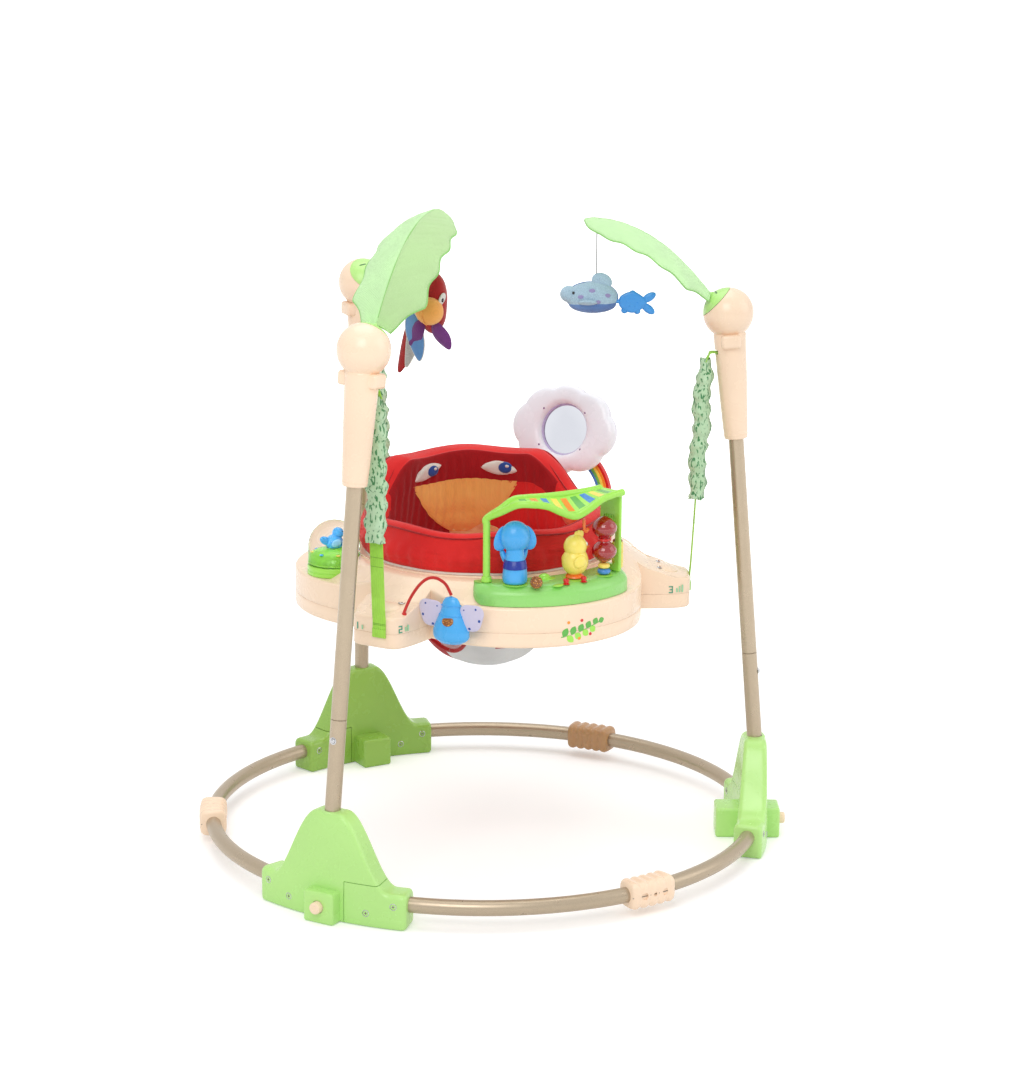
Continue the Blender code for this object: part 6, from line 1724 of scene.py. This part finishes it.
def inner_back(across, up, lift):
    """Point on the inside of the backrest's cushion; across is metres to the viewer's right."""
    azimuth = BACK - math.degrees(across / 0.132)
    height = 0.512 + up
    knots = smooth_path(seat_profile(azimuth)[6:9], 48)
    k = min(range(49), key=lambda index: abs(knots[index].z - height))
    return polar(knots[k].x - cushion(6.0 + k / 24, azimuth) - lift, azimuth, height)


def inner_side(across, up, lift):
    """Point on the inside of the seat's right wall, above the collar."""
    azimuth = -4.0 - math.degrees(across / 0.14)
    height = 0.474 + up
    knots = smooth_path(seat_profile(azimuth)[5:9], 32)
    reach = min(knots, key=lambda point: abs(point.z - height)).x
    return polar(reach - lift - 0.0015, azimuth, height)


def almond(x, y, length, width, degrees):
    upper = [((k / 23 - 0.5) * length, width * math.sin(math.pi * k / 23) ** 0.75) for k in range(24)]
    return placed(upper + [(a, -0.75 * b) for a, b in reversed(upper[1:-1])], x, y, degrees)


def oval(x, y, half_x, half_y, count=28):
    return [(x + half_x * math.cos(a), y + half_y * math.sin(a)) for a in around(count)]


def seat_lining():
    """Orange face, its peach tongue and the orange side panel, sewn inside the seat."""
    face = lining(5.25, 6.58, lambda t: 43.0 - 30.0 * (6.58 - t) ** 0.9,
                  lambda t: -38.0 + 27.0 * (6.58 - t), 0.0018)
    tongue = lining(4.5, 5.8, lambda t: 8.0 - 3.0 * (5.8 - t) ** 2,
                    lambda t: -26.0 * max(0.15, 1.0 - (abs(t - 4.95) / 0.9) ** 3), 0.0012)
    panel = lining(4.2, 5.5, lambda t: 102.0 - 14.0 * (t - 4.2), lambda t: 50.0 + 10.0 * (5.5 - t), 0.0012)
    return joined(face, (tongue, 1), panel)


def eye_patches():
    parts = []
    for x, up, tilt in ((-0.069, 0.013, 18.0), (0.056, 0.013, -4.0)):
        parts.append(patch_on(inner_back, almond(x, up, 0.060, 0.0125, tilt), 0.0040))
        parts.append((patch_on(inner_back, oval(x + 0.010, up + 0.0025, 0.0120, 0.0090), 0.0052), 1))
        parts.append(patch_on(inner_back, oval(x + 0.014, up + 0.0055, 0.0040, 0.0026, 18), 0.0060))
    return joined(*parts)


def seat_piping():
    rows = []
    for index, out in ((159, -0.0006), (201, 0.0006)):
        ring = []
        for k in range(181):
            knots = seat_profile(2.0 * k)
            point = smooth_path(knots, (len(knots) - 1) * 20)[index]
            ring.append(polar(point.x + out, 2.0 * k, point.z + 0.0006))
        rows.append(tube(ring, 0.0013, 8))
    return joined(*rows)


def sling_straps():
    straps = []
    for azimuth in (BACK - 38.0, BACK + 38.0, BACK + 180.0):
        heights = (0.425, 0.40, 0.37, 0.34, 0.31)
        path = [Vector((sling_reach(azimuth, height, -0.0012), 0, height)) for height in heights]
        section = ((-0.0005, -0.009, 0), (-0.0005, 0.009, 0), (0.0008, 0.009, 0), (0.0008, -0.009, 0))
        rings = [[point + Vector(corner) for corner in section] for point in smooth_path(path, 24)]
        straps.append(moved(loft(rings), rotation(azimuth, "Z")))
    return joined(*straps)


def build_seat():
    seat = add("padded_seat", seat_mesh(), f"{SEAT_TONES} piping_red", "seat", "seat_fabric",
               None, 180)
    add("seat_lining", seat_lining(), "seat_orange seat_peach", "seat", (), None, 180)
    add("seat_patches", eye_patches(), "eye_pale eye_blue", "seat", (), None, 60)
    add("seat_round_patch", patch_on(inner_side, oval(0, 0, 0.022, 0.022), 0.0040), "orange_cloth", "seat", (),
        None, 60)
    add("seat_piping", seat_piping(), "piping_red", "seat", (), None, 180)
    add("sling_straps", sling_straps(), "seat_dark", "seat", ())
    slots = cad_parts["seat_ring"].data.materials
    slots.clear()
    slots.append(MATERIALS["white"])


# Bug on its loop

BUG_RADIUS = 0.027
BUG_HEIGHT = 0.066
BUG_FLATNESS = 0.62
BUG_CORD = 0.0022


def bug_frame():
    """Frame at the top of the bug, hanging clear of the tray's wall: +X away from the wall, +Z up."""
    before, here, after = [polar(tray_outline(a), a, 0) for a in (228.5, 232.5, 236.5)]
    run = (after - before).normalized()
    outward = Vector((run.y, -run.x, 0))
    place = here + outward * (BUG_RADIUS * BUG_FLATNESS + 0.004) + Vector((0, 0, 0.430))
    return at(place) @ axes(outward, Vector((-outward.y, outward.x, 0)), Vector((0, 0, 1)))


def bug_bell():
    tall, radius = BUG_HEIGHT, BUG_RADIUS
    knots = [(0.62, -1.0), (0.95, -0.90), (1.0, -0.74), (0.80, -0.52), (0.55, -0.30), (0.47, -0.14), (0.30, -0.03)]
    path = smooth_path([Vector((r * radius, 0, z * tall)) for r, z in knots], 36)[:-1]
    profile = [(min(point.x, radius), max(-tall, min(0.0, point.z))) for point in path]
    bell = turned([(0, -tall)] + profile + [(0, 0)], 56, Matrix.Diagonal((BUG_FLATNESS, 1, 1, 1)))
    grooves = []
    for height, share in ((-0.40 * tall, 0.665), (-0.20 * tall, 0.528)):
        size = share * radius + 0.0003
        ring = [Vector((BUG_FLATNESS * size * math.cos(a), size * math.sin(a), height)) for a in around(48, True)]
        grooves.append(tube(ring, 0.0006, 8))
    patch = ellipsoid((0.0016, 0.0088, 0.0074), (BUG_FLATNESS * radius * 0.72, 0.001, -tall * 0.50),
                      rotation(-22, "Y"), 28, 16)
    return joined(bell, (patch, 1), *grooves)


def bug_wings():
    """Padded cloth wings, slightly squared, with spots on both faces."""
    parts = []
    for side in (-1, 1):
        place = shifted(0, side * (BUG_RADIUS * 0.5 + 0.0160), -BUG_HEIGHT * 0.42) @ rotation(side * 38, "X")
        wing = ellipsoid((0.0025, 0.0225, 0.0185), segments=40, rings=24)
        for vertex in wing.vertices:
            swell = 1.0 + 0.07 * math.cos(4 * math.atan2(vertex.co.z, vertex.co.y))
            vertex.co.z *= swell
            vertex.co.y *= swell
        parts.append(moved(wing, place))
        for k in range(5):
            angle = math.radians(72 * k + 20)
            for face in (-1, 1):
                spot = (face * 0.0013, 0.0160 * math.cos(angle), 0.0130 * math.sin(angle))
                parts.append((moved(ellipsoid((0.0006, 0.0024, 0.0024), spot, None, 16, 10), place), 1))
    return joined(*parts)


def bug_loop(over):
    """Cord from the tray's arm up over to the bug's top, with a round foot."""
    azimuth = 217.4
    reach = tray_outline(azimuth) - 0.014
    foot = polar(reach, azimuth, deck_height(azimuth, reach))
    points = [foot - Vector((0, 0, 0.004)), foot + Vector((0, 0, 0.003))]
    for share in [i / 9 for i in range(1, 9)]:
        rise = 0.003 + 0.034 * math.sin(math.pi * share) ** 0.8
        points.append(foot.lerp(over, share) + Vector((0, 0, rise)))
    loop = tube(smooth_path(points + [over], 70), BUG_CORD, 16)
    tip = turned([(0, -0.001), (0.0034, -0.001), (0.0036, 0.0008), (0.0030, 0.0026), (0, 0.0030)], 28, at(foot))
    return joined(loop, tip)


def build_bug():
    place = bug_frame()
    add("bug_bell", moved(bug_bell(), place), "blue glitter_amber", "bug_body", "bug", None, 50)
    add("bug_wings", moved(bug_wings(), place), "wing_cloth eye_blue", "bug_body", (), None, 60)
    over = place.translation + Vector((0, 0, BUG_CORD * 0.4 + GAP))
    add("bug_cord_loop", bug_loop(over), "loop_red", "tray", "bug_loop", None, 60)


# Hanging toys

def hang_point(rise):
    """Where a toy's string leaves the underside of its leaf."""
    return leaf_rib(0.90, rise) - Vector((0, 0, 0.002 + GAP * 2.6))


def string_piece(name, leg, body, top, bottom):
    """The toy's string, hanging straight under its own load."""
    path = [top.lerp(bottom, k / 24) for k in range(25)]
    piece = add(name, tube(path, 0.0008, 12), "string", body, (), leg, 180)
    world = [rotation(LEGS[leg], "Z") @ p + Vector((0, SHIFT, 0)) for p in path]
    tuple(world[0])
    [tuple(p) for p in world]


def fish_body(length, tall, deep):
    """Spotted plush fish with a darker belly, a seam round it, fins, snout and eyes."""
    body = rippled(ellipsoid((length / 2, deep / 2, tall / 2), segments=56, rings=36), 0.0009, 60.0, 2.0)
    seam = [Vector((length / 2 * math.cos(a), 0, (tall / 2) * math.sin(a))) * 1.004 for a in around(72, True)]
    under = ellipsoid((length * 0.46, deep * 0.47, tall * 0.30), (0.001, 0, -tall * 0.225), None, 40, 24)
    snout = ellipsoid((0.013, 0.011, 0.012), (-length * 0.44, 0, 0.004), None, 28, 18)
    back_fin = ellipsoid((0.015, 0.0042, 0.0115), (0.014, 0, tall * 0.52), rotation(22, "Y"), 32, 20)
    fins = [ellipsoid((0.0135, 0.0085, 0.0032), (-0.006, side * deep * 0.5, -0.006), rotation(side * 24, "X"),
                      28, 16) for side in (-1, 1)]
    spots = []
    for x, z in ((-0.016, 0.002), (0.008, -0.005), (0.000, 0.011), (0.022, 0.004)):
        y = deep / 2 * math.sqrt(max(0.05, 1 - (2 * x / length) ** 2 - (2 * z / tall) ** 2)) + 0.0001
        spots += [(ellipsoid((0.0044, 0.0007, 0.0028), (x, side * y, z), rotation(side * 2, "X"), 20, 12), 2)
                  for side in (-1, 1)]
    eyes = [(ellipsoid((0.0020, 0.0012, 0.0022), (-0.0265, side * 0.0104, 0.0070), None, 18, 12), 3)
            for side in (-1, 1)]
    return joined(body, (under, 1), snout, back_fin, (tube(seam, 0.0007, 8), 1), *fins, *spots, *eyes)


def fish_teether(length):
    """Flat blue teether shaped like a small fish, on a link to the big one's tail."""
    middle = length / 2 + 0.0205
    outline = [(0.0202 * math.cos(a) * (1 + 0.05 * math.cos(3 * a)),
                0.0146 * math.sin(a) * (1 + 0.06 * math.cos(4 * a))) for a in around(80)]
    edge = ((0.80, 0.0038), (0.93, 0.0034), (0.985, 0.0022), (1.0, 0.0), (0.985, -0.0022), (0.93, -0.0034),
            (0.80, -0.0038))
    disc = loft([[Vector((middle + x * share, half, z * share)) for x, z in outline] for share, half in edge])
    tail = [ellipsoid((0.0112, 0.0034, 0.0060), (middle + 0.0235, 0, side * 0.0082), rotation(-side * 35, "Y"),
                      28, 16) for side in (-1, 1)]
    lobes = [ellipsoid((0.0050, 0.0034, 0.0046), (middle + x, 0, z), None, 24, 14)
             for x, z in ((-0.010, -0.0125), (0.008, -0.0125), (0.000, 0.0125))]
    link = tube([Vector((length * 0.38, 0, 0)), Vector((middle - 0.015, 0, 0))], 0.003, 14)
    bumps = [ellipsoid((0.0012, 0.0046, 0.0012), (middle + 0.0075 * math.cos(a), 0, 0.0060 * math.sin(a)),
                       None, 14, 10) for a in around(6)]
    return joined(disc, *tail, *lobes, link, *bumps)


def build_fish():
    top = hang_point(RIGHT_LEAF_RISE)
    drop, length, tall, deep = 0.108, 0.074, 0.044, 0.032
    place = at(top + Vector((-0.006, 0, -drop)))
    fish = add("fish_body_plush", moved(fish_body(length, tall, deep), place),
               "plush_pale fish_belly mauve_cloth black", "fish_body", "fish", "right", 60)
    teether_place = place @ shifted(0, 0, -0.004) @ rotation(3.0, "Y")
    add("fish_teether", moved(fish_teether(length), teether_place), "teether_blue", "fish_body", (),
        "right", 45)
    string_piece("fish_string", "right", "fish_body", top, top + Vector((0, 0, -drop + tall * 0.46)))


def parrot_body():
    length, width = 0.072, 0.036
    body = rippled(ellipsoid((width * 0.42, width / 2, length / 2), (0, 0, 0.012), None, 48, 36), 0.0010, 55.0, 5.0)
    patches, eyes = [], []
    for side in (-1, 1):
        patches.append((ellipsoid((0.0066, 0.0026, 0.0092), (0.0045, side * 0.0150, 0.016),
                                  rotation(side * -14, "X"), 28, 18), 1))
        eyes.append((ellipsoid((0.0019, 0.0016, 0.0026), (0.0070, side * 0.0172, 0.0170), None, 18, 12), 2))
    crest = ellipsoid((0.0026, 0.0040, 0.0100), (-0.004, 0, 0.047), None, 20, 14)
    return joined(body, *patches, *eyes, crest)


def parrot_beak():
    """Round beak, hooked a little at its lower half, with a stitched ridge."""
    radius, front, side, height = 0.0162, 0.014, 0.004, 0.004
    beak = ellipsoid((radius,) * 3, (front, side, height), None, 48, 32)
    for vertex in beak.vertices:
        vertex.co.x -= 0.0018 * max(0.0, height - vertex.co.z) / 0.0165
    angles = [math.radians(-70 + 140 * k / 24) for k in range(25)]
    ridge = [Vector((front + 0.0163 * math.cos(a), side, height + 0.0163 * math.sin(a))) for a in angles]
    return joined(beak, tube(ridge, 0.0006, 8))


def feather_mesh(radii):
    """Flat sewn feather, narrower to its tip, with a rolled hem."""
    def bent_over(share, across):
        return 0.0022 * math.sin(share * 2.4), across * (1.0 - 0.32 * max(0.0, -share) ** 1.5)

    blade = ellipsoid(radii, segments=36, rings=28)
    for vertex in blade.vertices:
        lean, vertex.co.y = bent_over(vertex.co.z / radii[2], vertex.co.y)
        vertex.co.x += lean
    hem = [Vector((*bent_over(math.sin(a), radii[1] * math.cos(a)), radii[2] * math.sin(a)))
           for a in around(48, True)]
    return joined(blade, (tube(hem, 0.0007, 8), 1))


PARROT_FEATHERS = {
    "wing": ((0.0034, 0.0112, 0.0292), (0.006, -0.020, -0.028), 10, "wing_blue white_cloth"),
    "feather": ((0.0024, 0.0078, 0.0352), (-0.004, -0.030, -0.034), -16, "plush_grey white_cloth"),
    "tail": ((0.0024, 0.0098, 0.0490), (-0.008, -0.034, -0.030), -22, "plush_red seat_dark"),
    "foot_near": ((0.0034, 0.0086, 0.0176), (0.008, -0.017, -0.024), -34, "violet_cloth violet_cloth"),
    "foot_far": ((0.0034, 0.0086, 0.0176), (0.008, 0.017, -0.024), 34, "violet_cloth violet_cloth")}


def build_parrot():
    top = hang_point(LEFT_LEAF_RISE)
    drop, scale = 0.136, 1.2
    place = at(top + Vector((0, 0, -drop))) @ Matrix.Diagonal((scale, scale, scale, 1))
    parrot = add("parrot_body_plush", moved(parrot_body(), place), "plush_red white_cloth black", "parrot_body",
                 "parrot", "left", 60)
    add("parrot_beak", moved(parrot_beak(), place), "beak_cloth", "parrot_body", (), "left", 60)
    for name, (radii, spot, tilt, materials) in PARROT_FEATHERS.items():
        add(f"parrot_{name}", moved(feather_mesh(radii), place @ at(spot) @ rotation(tilt, "X")), materials,
            "parrot_body", (), "left", 60)
    string_piece("parrot_string", "left", "parrot_body", top, top + Vector((0, 0, -drop + 0.054)))


scene.view_settings.view_transform = "Standard"
build_camera()
build_world()
build_floor()
build_lamps()
build_materials()
build_floor_parts()
build_posts()
build_leaves()
build_straps()
build_tray()
build_pond()
build_bridge()
build_elephant()
build_chick()
build_spinner()
build_roller()
build_dome()
build_cloud()
build_arch()
build_seat()
build_bug()
build_fish()
build_parrot()
